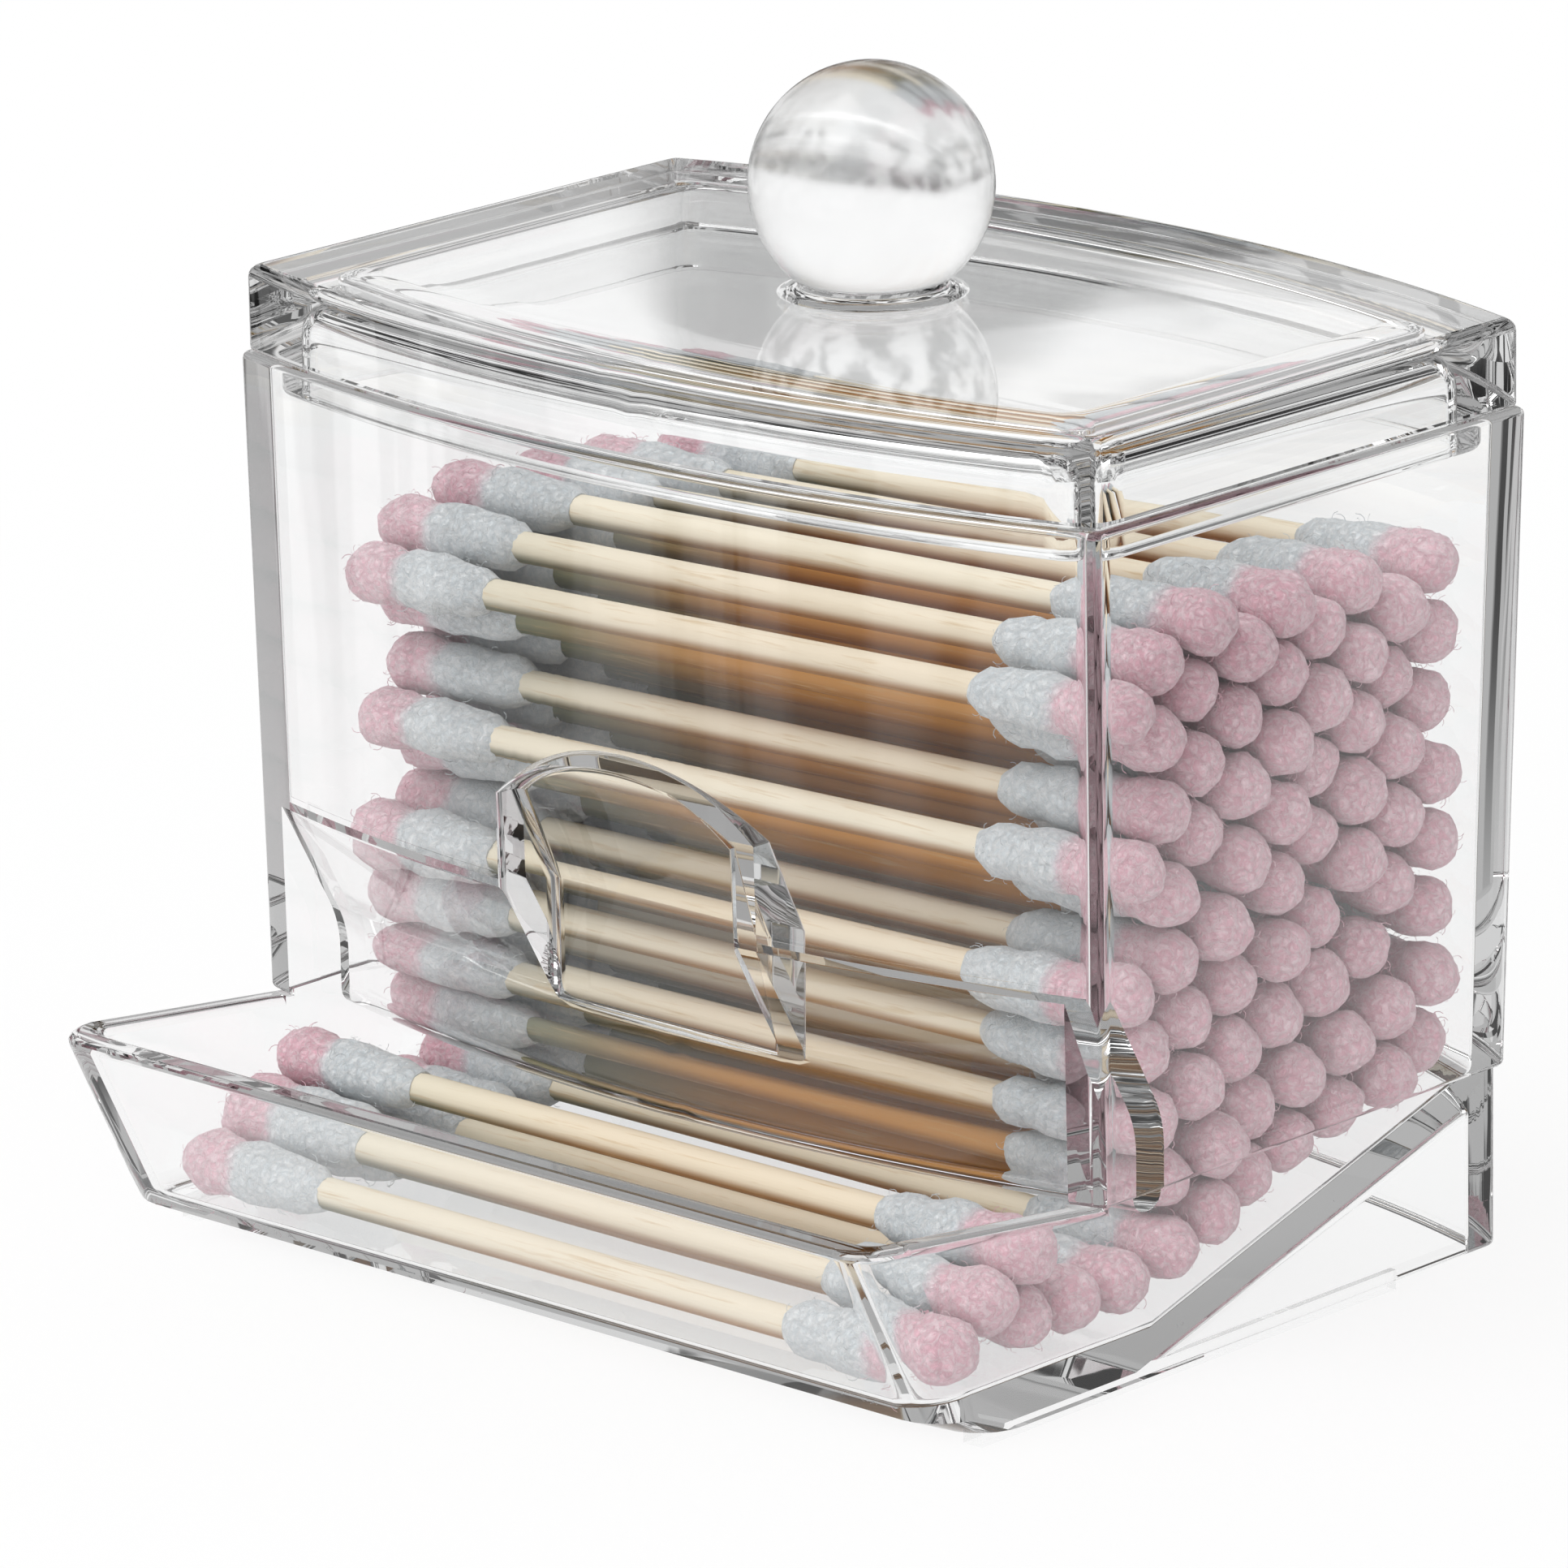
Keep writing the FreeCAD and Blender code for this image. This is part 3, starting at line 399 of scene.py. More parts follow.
def makeChamber(box):
    # the hollow above the sloping floor
    wall, top, edge = box["wall"], box["top"], box["edgeRound"]
    rings = [[(x, y, floorAt(box, y) + lift) for x, y in wallOutline(box, wall + inset, 1)]
             for lift, inset in lowEdge(0, box["hollowRound"])]
    for lean, rise in box["chamberRings"]:
        rings.append([(x, y, floorAt(box, y) + (top - floorAt(box, y)) * rise)
                      for x, y in wallOutline(box, wall, lean)])
    rings += [atHeight(wallOutline(box, wall - outset, 0), z)
              for z, outset in highEdge(top, edge) + [(top + box["overlap"], edge)]]
    return stackedSolid("chamber", rings)


def makeTrayHollow(box):
    rear = box["rampStart"] - box["shyOfRamp"]
    rings = []
    for z, inset in lowEdge(box["floor"], box["hollowRound"]) + [(box["skirtKnee"], 0)]:
        reach, half = panelAt(box, z) - box["wall"] - inset, box["innerHalf"] - inset
        rings.append(atHeight(trayOutline(reach, half, box["trayCorner"] / 2, box["boxCorner"], rear), z))
    return stackedSolid("trayHollow", rings)


def makeFlare(box):
    # rounds the inner edge of the tray's rim
    edge, start, rear = box["rimRound"], box["flareStart"], box["boxCorner"] - box["flareGap"]
    levels = [(drop, -outset) for drop, outset in highEdge(0, edge) + [(box["flareTop"], edge)]]
    rings = []
    for drop, inset in [(-edge - start, start)] + levels:
        reach = panelAt(box, box["lip"] + min(drop, 0)) - box["wall"] - inset
        outline = trayOutline(reach, box["innerHalf"] - inset, box["trayCorner"] / 2, rear - 1, rear)
        rings.append([(x, y, rimAt(box, y) + drop) for x, y in outline])
    return stackedSolid("flare", rings)


def makeSlot(box):
    # the gap under the front wall, through which the contents roll out
    front, rear = -(box["depth"] / 2 + box["frontBow"] + box["wall"]), box["boxCorner"] + box["slotDepth"]
    outline = [(0, front), (box["innerHalf"], front), (box["innerHalf"], rear), (0, rear)]
    return stackedSolid("frontSlot", [atHeight(outline, z) for z in (box["slotFoot"], box["shoulder"])])


def makeUnderRamp(box):
    # the open space under the ramp
    start, slope = box["rampStart"], box["slope"]
    slab = box["rampSlab"] / math.cos(math.radians(box["rampSlope"]))
    front = start + (slab - box["floor"]) / slope

    def outline(inset):
        walls = [point for point in wallOutline(box, box["wall"] + inset, 1) if point[1] >= start]
        return [(0, front), (box["innerHalf"] - inset, front)] + walls

    ceiling = [[(x, y, box["floor"] + (y - start) * slope - slab + level) for x, y in outline(inset)]
               for level, inset in highEdge(0, box["hollowRound"])]
    return stackedSolid("underRamp", [atHeight(outline(0), -box["sink"])] + ceiling)


def frontAt(box, x, lean, back, depth=0):
    # where the bowed front lies; depth counts into the wall
    bow = math.sqrt((box["frontRadius"] - depth) ** 2 - x ** 2)
    return box["frontCentre"] + lean + back - bow


def kneeCurve(box, depth):
    # from the skirt's slope into its upright, as places back from the front and heights
    setback, knee, bend = box["skirtSetback"], box["skirtKnee"], box["kneeBend"]
    drop = box["shoulder"] - knee
    slopeLength = math.hypot(setback, drop)
    points = ((setback - bend * setback / slopeLength, knee + bend * drop / slopeLength),
              (setback, knee), (setback, knee - bend))
    curve = []
    for k in range(outlineSteps["knee"] + 1):
        s = k / outlineSteps["knee"]
        shares = ((1 - s) ** 2, 2 * s * (1 - s), s ** 2)
        back, z = (sum(share * point[axis] for share, point in zip(shares, points)) for axis in (0, 1))
        curve.append((back, depth, z))
    return curve


def makeSkirt(box):
    # the front wall under the shoulder: it slopes in, then drops to the slot
    wall, hair, edge, shoulder = box["wall"], box["hair"], box["skirtRound"], box["shoulder"]
    outer = [(hair, hair, shoulder + box["sink"]), (hair, hair, shoulder)]
    inner = [(hair, wall - hair, shoulder), (hair, wall - hair, shoulder + box["sink"])]
    rounding = [(edge - edge * sine, box["slot"] + edge - edge * cosine)
                for sine, cosine in quarterTurn(outlineSteps["edge"])[::-1]]
    lower = [(box["skirtSetback"], depth, z) for depth, z in rounding]
    lower += [(box["skirtSetback"], wall - depth, z) for depth, z in rounding[::-1]]
    profile = outer + kneeCurve(box, 0) + lower + kneeCurve(box, wall)[::-1] + inner
    form = bmesh.new()
    stations = []
    reach, steps = box["innerHalf"] + box["skirtOverlap"], outlineSteps["front"]
    for k in range(steps + 1):
        x = -reach + 2 * reach * k / steps
        stations.append([form.verts.new((x, frontAt(box, x, box["shoulderLean"], back, depth), z))
                         for back, depth, z in profile])
    for first, second in zip(stations, stations[1:]):
        for k in range(len(profile)):
            after = (k + 1) % len(profile)
            form.faces.new((first[k], first[after], second[after], second[k]))
    form.faces.new(stations[0])
    form.faces.new(stations[-1])
    return closedSolid(form, "skirt")


def faceAt(box, x, z):
    # the front's outside at a place across it and a height
    share = (box["shoulder"] - z) / (box["shoulder"] - box["skirtKnee"])
    return frontAt(box, x, box["frontLean"] * leanAt(box, z), box["skirtSetback"] * min(max(share, 0), 1))


def backAt(box, z, grow):
    # the back of the finger recess, which slopes above its knee
    past = max(z - box["recessKnee"], 0) / math.tan(math.radians(box["recessSlope"]))
    return grow - (box["depth"] / 2 + box["frontBow"] - box["shoulderLean"] - box["skirtSetback"]) - past


def archOutline(box, grow, bottom):
    side, crown = box["recessHalf"] + grow, box["recessCrown"] + grow
    rise = crown - box["recessSpring"]
    radius = (side ** 2 + rise ** 2) / (2 * rise)
    turn, steps = math.asin(side / radius), outlineSteps["arch"]
    angles = [turn * (1 - k / steps) for k in range(steps + 1)]
    return [(0, bottom), (side, bottom), (side, box["recessKnee"])] + [
        (radius * math.sin(angle), crown - radius + radius * math.cos(angle)) for angle in angles]


def makeBacking(box):
    # the wall behind the finger recess
    wall, side, knee = box["wall"], box["recessWall"], box["skirtKnee"]
    rings = [[(x, backAt(box, z, wall) - drop, z) for x, z in archOutline(box, side - inset, knee)]
             for drop, inset in lowEdge(0, side / 2)]
    sink, least = box["backingSink"], box["backingLeast"]
    rings.append([(x, min(faceAt(box, x, z) + sink, backAt(box, z, wall) - least), z)
                  for x, z in archOutline(box, side, knee)])
    return stackedSolid("backing", rings)


def makeRecess(box):
    soft, crisp, low = box["hollowRound"], box["recessRound"], box["skirtKnee"] + box["recessLift"]
    rings = [[(x, backAt(box, z, 0) - lift, z) for x, z in archOutline(box, -inset, low + inset)]
             for lift, inset in lowEdge(0, soft)]
    for drop, inset in highEdge(0, crisp):
        nearest = soft + box["sliver"] * (1 + inset)
        rings.append([(x, min(faceAt(box, x, z) - drop, backAt(box, z, 0) - nearest), z)
                      for x, z in archOutline(box, inset, low - inset)])
    rings.append([(x, box["recessFront"], z) for x, z in archOutline(box, crisp, low - crisp)])
    return stackedSolid("recess", rings)


def makeRail(box, side):
    length, height = box["soleReach"] - box["railFront"] + box["railRear"], box["foot"] + box["sink"]
    middle = side * (box["trayHalf"] - box["railInset"] - box["railWidth"] / 2)
    form = bmesh.new()
    bmesh.ops.create_cube(form, size=1)
    bmesh.ops.scale(form, vec=(box["railWidth"], length, height), verts=form.verts)
    bmesh.ops.translate(form, vec=(middle, box["railRear"] - length / 2, height / 2), verts=form.verts)
    return objectFrom(form, "rail")


def makeBox(box):
    return combined("boxShell", makeUpper(box), [
        ("UNION", makeBase(box)), ("UNION", makeTray(box)), ("DIFFERENCE", makeChamber(box)),
        ("DIFFERENCE", makeTrayHollow(box)), ("DIFFERENCE", makeFlare(box)), ("DIFFERENCE", makeSlot(box)),
        ("DIFFERENCE", makeUnderRamp(box)), ("UNION", makeSkirt(box)), ("UNION", makeBacking(box)),
        ("UNION", makeRail(box, -1)), ("UNION", makeRail(box, 1)), ("DIFFERENCE", makeRecess(box))])


clearLid = {
    "inset": 0.5, "height": 6.9, "plate": 2.5, "edgeRound": 1.0, "lowRound": 0.35, "airGap": 0.04,
    "plugDrop": 3.0, "plugInset": 3.3, "plugWall": 2.4, "plugCorner": 2.5, "plugRound": 0.6,
    "cavityRound": 2.8, "padRadius": 7.4, "padHeight": 1.2, "padTop": 5.6, "overlap": 1.0,
    "padRises": (0, 0.08, 0.2, 0.4, 0.7, 1.0),
}


def makeLidPad(spec, top):
    # a hollow-cheeked foot for the knob
    cheek = spec["padHeight"] - spec["airGap"] / 2
    levels = [(top - spec["overlap"], 0)]
    for rise in (*spec["padRises"], cheek):
        drawIn = (spec["padRadius"] - spec["padTop"]) * math.sqrt(1 - (1 - rise / cheek) ** 2)
        levels.append((top + rise, drawIn))
    around = [math.pi * k / outlineSteps["pad"] for k in range(outlineSteps["pad"] + 1)]
    rings = []
    for z, inset in levels:
        radius = spec["padRadius"] - inset
        rings.append([(radius * math.sin(angle), -radius * math.cos(angle), z) for angle in around])
    return stackedSolid("pad", rings)


def makeLid(spec, box):
    half, low = box["width"] / 2, box["top"] + spec["airGap"]
    top, plugLow = box["top"] + spec["height"], box["top"] - spec["plugDrop"]

    def stacked(name, levels, inset, corner):
        insets = [(z, inset + more) for z, more in levels]
        return stackedSolid(name, [atHeight(boxOutline(box, half - inset, inset, 0, corner), z)
                                   for z, inset in insets])

    plate = stacked("plate", lowEdge(low, spec["lowRound"]) + highEdge(top, spec["edgeRound"]),
                    spec["inset"], box["cornerRound"])
    plug = stacked("plug", lowEdge(plugLow, spec["plugRound"]) + [(low + spec["overlap"], 0)],
                   spec["plugInset"], spec["plugCorner"])
    flare = [(plugLow - spec["overlap"], -spec["plugRound"])]
    flare += [(z, -inset) for z, inset in lowEdge(plugLow, spec["plugRound"])]
    cavity = stacked("cavity", flare + highEdge(top - spec["plate"], spec["cavityRound"]),
                     spec["plugInset"] + spec["plugWall"], spec["plugCorner"])
    return combined("lidShell", plate, [
        ("UNION", plug), ("UNION", makeLidPad(spec, top)), ("DIFFERENCE", cavity)])


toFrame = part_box("dispenser_body")[0][1] / mm + clearBox["lipReach"]
boxShell = polished(makeBox(measured(clearBox)), toFrame, smoothing, clearShell)
lidShell = polished(makeLid(clearLid, clearBox), toFrame, smoothing, clearShell)
print("clear mouldings:", len(boxShell.data.polygons), "+", len(lidShell.data.polygons), "faces")


ballKnob = {"around": 96, "fromTop": 48, "edge": 0.0003, "weld": 1e-7}
castPlastic = {**clearPlastic, "dullness": 0.17, "relief": 0.02}


def makeKnob(spec):
    low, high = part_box("lid_knob")
    middle = Vector(((low[0] + high[0]) / 2, (low[1] + high[1]) / 2, 0))
    radius = (high[0] - low[0]) / 2
    centre = high[2] - radius
    seatAngle = math.acos((centre - low[2]) / radius)
    profile = [(0, 0, low[2]), (radius * math.sin(seatAngle) - spec["edge"], 0, low[2])]
    for step in range(spec["fromTop"] + 1):
        angle = seatAngle + (math.pi - seatAngle) * step / spec["fromTop"]
        profile.append((radius * math.sin(angle), 0, centre - radius * math.cos(angle)))
    form = bmesh.new()
    verts = [form.verts.new(point) for point in profile]
    edges = [form.edges.new(pair) for pair in zip(verts, verts[1:])]
    bmesh.ops.spin(form, geom=verts + edges, cent=(0, 0, 0), axis=(0, 0, 1), angle=2 * math.pi,
                   steps=spec["around"], use_merge=True)
    bmesh.ops.remove_doubles(form, verts=form.verts, dist=spec["weld"])
    bmesh.ops.recalc_face_normals(form, faces=form.faces)
    bmesh.ops.translate(form, verts=form.verts, vec=middle)
    knob = objectFrom(form, "knobBall")
    knob.data.shade_smooth()
    return knob


knobBall = makeKnob(ballKnob)
knobBall.data.materials.append(clearMaterial("clear cast knob", castPlastic))
print("knob made")


swab = {
    "weld": 0.000001,
    "endShare": 0.25,           # of a stick's length; the points in it give the middle of that end
    "tipBeyondStick": 0.003,
    "neighbourReach": 0.0068,   # swabs whose ends are nearer than this touch or nearly so
    "clearlyPast": 0.0017,      # a neighbour lies over, under or behind if it is further on than this
    # painted shade on the swabs buried in the pile; the spread is their own tone, which differs at random
    "buriedShade": 0.9,
    "toneSpread": 0.15,
    "seed": 11,
}


def looseParts(mesh, weld):
    form = bmesh.new()
    form.from_mesh(mesh)
    bmesh.ops.remove_doubles(form, verts=form.verts, dist=weld)
    met = set()
    for first in form.verts:
        if first in met:
            continue
        met.add(first)
        waiting, part = [first], []
        while waiting:
            vert = waiting.pop()
            part.append(vert.co.copy())
            for edge in vert.link_edges:
                other = edge.other_vert(vert)
                if other not in met:
                    met.add(other)
                    waiting.append(other)
        yield part
    form.free()


def stickEnds(node, spec):
    # the middles of both ends of each stick in a layer, from front to back
    sticks = []
    for part in looseParts(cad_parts[node].data, spec["weld"]):
        left = min(point.x for point in part)
        right = max(point.x for point in part)
        span = (right - left) * spec["endShare"]
        ends = []
        for points in ([point for point in part if point.x < left + span],
                       [point for point in part if point.x > right - span]):
            ends.append(sum(points, Vector()) / len(points))
        sticks.append(ends)
    return sorted(sticks, key=lambda ends: ends[0].y)


stickNodes = sorted(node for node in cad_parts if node.startswith("sticks"))
allEnds = [right for node in stickNodes for left, right in stickEnds(node, swab)]


def isBuried(end, spec):
    # swabs lie behind it and over it in front, and either under it in front or over it behind
    gaps = [(other - end).yz for other in allEnds if 0 < (other - end).yz.length < spec["neighbourReach"]]
    past = spec["clearlyPast"]
    over = [y for y, z in gaps if z > past]
    under = [y for y, z in gaps if z < -past]
    backed = any(y > past for y, z in gaps) and any(y < 0 for y in over)
    return backed and (any(y < 0 for y in under) or any(y > 0 for y in over))


def swabPoints(name, spec, atEnds):
    # one vertex at each tip of a swab, or at the left end of its stick, that knows which way the swab runs
    random.seed(spec["seed"])
    places, runs, shadesAndTones = [], [], []
    for node in stickNodes:
        for left, right in stickEnds(node, spec):
            along = (right - left).normalized()
            # painted shade for a buried swab, plus its own random tone
            shadeAndTone = spec["buriedShade"] * isBuried(right, spec) + spec["toneSpread"] * random.random()
            if atEnds:
                for end, way in ((left, along), (right, -along)):
                    places.append(end - way * spec["tipBeyondStick"])
                    runs.append(way)
                    shadesAndTones.append(shadeAndTone)
            else:
                places.append(left)
                runs.append(right - left)
                shadesAndTones.append(shadeAndTone)
    mesh = bpy.data.meshes.new(name)
    mesh.from_pydata(places, [], [])
    runData = mesh.attributes.new("swabRun", "FLOAT_VECTOR", "POINT")
    runData.data.foreach_set("vector", [value for run in runs for value in run])
    shadeAndToneData = mesh.attributes.new("shadeAndTone", "FLOAT", "POINT")
    shadeAndToneData.data.foreach_set("value", shadesAndTones)
    return newObject(name, mesh)


def geometryTree(name, sizes, finish):
    # takes the base mesh, each named size and a material
    tree = bpy.data.node_groups.new(name, "GeometryNodeTree")
    for way in ("INPUT", "OUTPUT"):
        tree.interface.new_socket("Geometry", in_out=way, socket_type="NodeSocketGeometry")
    for label, value in sizes.items():
        kind = "NodeSocketInt" if isinstance(value, int) else "NodeSocketFloat"
        tree.interface.new_socket(label, in_out="INPUT", socket_type=kind).default_value = value
    tree.interface.new_socket(finish, in_out="INPUT", socket_type="NodeSocketMaterial")
    return tree, addNode(tree, "NodeGroupInput").outputs


def nodeResult(tree, kind, inputs=None, **settings):
    return addNode(tree, kind, inputs, **settings).outputs[0]


def randomNumber(tree, inputs):
    # input 2 is the least and input 3 the most
    return addNode(tree, "FunctionNodeRandomValue", inputs, data_type="FLOAT").outputs[1]


def alongSwab(tree):
    # a swab's run, and the turn that lays an instance along it
    run = nodeResult(tree, "GeometryNodeInputNamedAttribute", {"Name": "swabRun"}, data_type="FLOAT_VECTOR")
    return run, nodeResult(tree, "FunctionNodeAlignRotationToVector", {"Vector": run}, axis="Z")


def coated(tree, geometry, finish):
    done = nodeResult(tree, "GeometryNodeSetMaterial", {"Geometry": geometry, "Material": finish})
    addNode(tree, "NodeGroupOutput", {0: done})
    return tree


def applyTree(obj, tree, values):
    modifier = obj.modifiers.new(tree.name, "NODES")
    modifier.node_group = tree
    for item in tree.interface.items_tree:
        if item.item_type == "SOCKET" and item.in_out == "INPUT" and item.name in values:
            modifier[item.identifier] = values[item.name]
    settle(obj, obj.name)


cottonHead = {
    "Head Length": 0.015,
    "Head Radius": 0.00254,
    "Smallest": 0.96,
    "Largest": 1.02,
    "Sides": 18,
    "Rings": 20,
    "Crowding": 1.7,            # draws the rings towards the tip
    "Lumps": 0.0011,
    "Lump Scale": 430.0,
    "Lump Level": 0.55,
    "Fibre Length": 0.0011,
    "Shortest Fibre": 0.35,     # as a share of the length
    "Fibre Width": 0.00006,
    "Fibre Density": 420000.0,
    "Seed": 5,
}
headOutline = (
    (0, 0), (0.012, 0.38), (0.035, 0.62), (0.075, 0.84), (0.12, 0.96), (0.17, 1.0), (0.26, 0.97),
    (0.35, 0.87), (0.45, 0.94), (0.56, 0.98), (0.68, 0.88), (0.76, 0.84), (0.85, 0.86), (0.93, 0.74),
    (1.0, 0.52))
# a loose fibre of unit length, which starts inside the cotton
fibreCurl = {"Resolution": 3, "Start": (0, 0, -0.1), "Middle": (0.1, 0, 0.55), "End": (0.75, 0.1, 0.5)}


def headShape(tree, given):
    # a line from the tip inwards, swept with the girth of the head
    line = nodeResult(tree, "GeometryNodeMeshLine", {"Count": given["Rings"]}, mode="OFFSET")
    line = nodeResult(tree, "GeometryNodeMeshToCurve", {0: line})
    index = nodeResult(tree, "GeometryNodeInputIndex")
    evenly = mathNode(tree, "DIVIDE", index, mathNode(tree, "SUBTRACT", given["Rings"], 1.0))
    share = mathNode(tree, "POWER", evenly, given["Crowding"])
    inwards = mathNode(tree, "MULTIPLY", share, given["Head Length"])
    spot = nodeResult(tree, "ShaderNodeCombineXYZ", {"Z": inwards})
    line = nodeResult(tree, "GeometryNodeSetPosition", {"Geometry": line, "Position": spot})
    line = nodeResult(tree, "GeometryNodeStoreNamedAttribute", {
        "Geometry": line, "Name": "fromTip", "Value": share}, data_type="FLOAT", domain="POINT")
    outline = addNode(tree, "ShaderNodeFloatCurve", {"Value": share})
    curve = outline.mapping.curves[0]
    for position, height in headOutline[1:-1]:
        curve.points.new(position, height)
    curve.points[0].location = headOutline[0]
    curve.points[-1].location = headOutline[-1]
    outline.mapping.update()
    girth = mathNode(tree, "MULTIPLY", outline.outputs[0], given["Head Radius"])
    ring = nodeResult(tree, "GeometryNodeCurvePrimitiveCircle", {
        "Resolution": given["Sides"], "Radius": 1.0}, mode="RADIUS")
    line = nodeResult(tree, "GeometryNodeSetCurveRadius", {0: line, "Radius": girth})
    return nodeResult(tree, "GeometryNodeCurveToMesh",
                      {"Curve": line, "Profile Curve": ring, "Scale": girth, "Fill Caps": True})


def withLumps(tree, given, heads):
    lumps = noise(tree, nodeResult(tree, "GeometryNodeInputPosition"), given["Lump Scale"], 2)
    lumps = mathNode(tree, "SUBTRACT", lumps, given["Lump Level"])
    swing = mathNode(tree, "MULTIPLY", lumps, given["Lumps"])
    outwards = nodeResult(tree, "GeometryNodeInputNormal")
    push = nodeResult(tree, "ShaderNodeVectorMath", {0: outwards, "Scale": swing}, operation="SCALE")
    return nodeResult(tree, "GeometryNodeSetPosition", {"Geometry": heads, "Offset": push})


def looseFibres(tree, given, surface):
    # thin curled strips scattered over the cotton
    seed = given["Seed"]
    spots = addNode(tree, "GeometryNodeDistributePointsOnFaces", {
        "Mesh": surface, "Density": given["Fibre Density"], "Seed": seed}, distribute_method="RANDOM")
    strand = nodeResult(tree, "GeometryNodeCurveQuadraticBezier", fibreCurl)
    width = mathNode(tree, "DIVIDE", given["Fibre Width"], given["Fibre Length"])
    across = nodeResult(tree, "ShaderNodeCombineXYZ", {"Y": width})
    band = nodeResult(tree, "GeometryNodeCurvePrimitiveLine", {"End": across}, mode="POINTS")
    fibre = nodeResult(tree, "GeometryNodeCurveToMesh", {"Curve": strand, "Profile Curve": band})
    angle = randomNumber(tree, {3: 2 * math.pi, "Seed": seed})
    spin = nodeResult(tree, "FunctionNodeAxisAngleToRotation", {"Axis": (0, 0, 1), "Angle": angle})
    turned = nodeResult(tree, "FunctionNodeRotateRotation", {0: spots.outputs["Rotation"], 1: spin},
                        rotation_space="LOCAL")
    share = randomNumber(tree, {2: given["Shortest Fibre"], 3: 1.0})
    length = mathNode(tree, "MULTIPLY", share, given["Fibre Length"])
    return nodeResult(tree, "GeometryNodeInstanceOnPoints", {
        "Points": spots.outputs["Points"], "Instance": fibre, "Rotation": turned, "Scale": length})


def cottonTree(sizes):
    tree, given = geometryTree("WoundCotton", sizes, "Cotton")
    size = randomNumber(tree, {2: given["Smallest"], 3: given["Largest"], "Seed": given["Seed"]})
    facing = alongSwab(tree)[1]
    heads = nodeResult(tree, "GeometryNodeInstanceOnPoints", {
        "Points": given["Geometry"], "Instance": headShape(tree, given), "Rotation": facing, "Scale": size})
    lumpy = withLumps(tree, given, nodeResult(tree, "GeometryNodeRealizeInstances", {0: heads}))
    join = addNode(tree, "GeometryNodeJoinGeometry")
    for part in (nodeResult(tree, "GeometryNodeSetShadeSmooth", {"Geometry": lumpy}),
                 looseFibres(tree, given, lumpy)):
        tree.links.new(part, join.inputs[0])
    whole = nodeResult(tree, "GeometryNodeRealizeInstances", {0: join.outputs[0]})
    return coated(tree, whole, given["Cotton"])


cottonLook = {
    "tip": (0.97, 0.74, 0.79, 1),
    # the second colour of each pair is painted shade, for the hollows in the fluff
    "tipInShade": (0.86, 0.50, 0.58, 1),
    "cotton": (0.88, 0.90, 0.91, 1),
    "cottonInShade": (0.72, 0.77, 0.80, 1),
    "tipLength": 0.40,          # as a share of the head, like the next two
    "fade": 0.06,
    "ragged": 0.08,
    "cloudScale": 420.0,
    "fluffScale": 1500.0,
    # where the fluff's relief turns from painted shade to the lit colour
    "fluffShadeFrom": 0.40,
    "fluffShadeTo": 0.62,
    "relief": 0.9,
    "reliefDepth": 0.0004,
}


def cottonMaterial(spec):
    material, tree, shader, coords = newMaterial("wound cotton")
    setInputs(tree, shader, {"Roughness": 0.95, "Sheen Weight": 0.7, "Sheen Roughness": 0.35,
                             "Specular IOR Level": 0.1})
    fluff = noise(tree, coords["Object"], spec["fluffScale"], 5, Roughness=0.75, Distortion=1.2)
    addRelief(tree, shader, fluff, spec)
    # painted shade: the cotton is darker where the fluff's relief is low
    fluffShade = ranged(tree, fluff, spec["fluffShadeFrom"], spec["fluffShadeTo"])
    pink = mixColour(tree, fluffShade, spec["tipInShade"], spec["tip"])
    white = mixColour(tree, fluffShade, spec["cottonInShade"], spec["cotton"])
    cloud = noise(tree, coords["Object"], spec["cloudScale"], 4, Roughness=0.7)
    ragged = mathNode(tree, "MULTIPLY_ADD", cloud, 2 * spec["ragged"], -spec["ragged"])
    fromTip = addNode(tree, "ShaderNodeAttribute", attribute_name="fromTip").outputs["Fac"]
    fade = ranged(tree, mathNode(tree, "ADD", fromTip, ragged), spec["tipLength"] - spec["fade"],
                  spec["tipLength"] + spec["fade"])
    tree.links.new(mixColour(tree, fade, pink, white), shader.inputs["Base Color"])
    return material


cottonHeads = swabPoints("cottonHeads", swab, True)
woundCotton = cottonMaterial(cottonLook)
applyTree(cottonHeads, cottonTree(cottonHead), {**cottonHead, "Cotton": woundCotton})
print("cotton heads:", len(cottonHeads.data.polygons), "faces")


stick = {"Stick Radius": 0.00125, "Sides": 12, "Stations": 7}


def stickTree(sizes):
    # rods of unit length, each stretched to its swab's run
    tree, given = geometryTree("BareSticks", sizes, "Wood")
    rod = nodeResult(tree, "GeometryNodeCurvePrimitiveLine", {"End": (0, 0, 1)}, mode="POINTS")
    rod = nodeResult(tree, "GeometryNodeResampleCurve", {
        "Curve": rod, "Count": given["Stations"]}, mode="COUNT")
    ring = nodeResult(tree, "GeometryNodeCurvePrimitiveCircle", {
        "Resolution": given["Sides"], "Radius": given["Stick Radius"]}, mode="RADIUS")
    tube = nodeResult(tree, "GeometryNodeCurveToMesh", {
        "Curve": rod, "Profile Curve": ring, "Fill Caps": True})
    run, facing = alongSwab(tree)
    reach = addNode(tree, "ShaderNodeVectorMath", {0: run}, operation="LENGTH").outputs["Value"]
    scale = nodeResult(tree, "ShaderNodeCombineXYZ", {"X": 1.0, "Y": 1.0, "Z": reach})
    rods = nodeResult(tree, "GeometryNodeInstanceOnPoints", {
        "Points": given["Geometry"], "Instance": tube, "Rotation": facing, "Scale": scale})
    whole = nodeResult(tree, "GeometryNodeRealizeInstances", {0: rods})
    return coated(tree, nodeResult(tree, "GeometryNodeSetShadeSmooth", {"Geometry": whole}), given["Wood"])


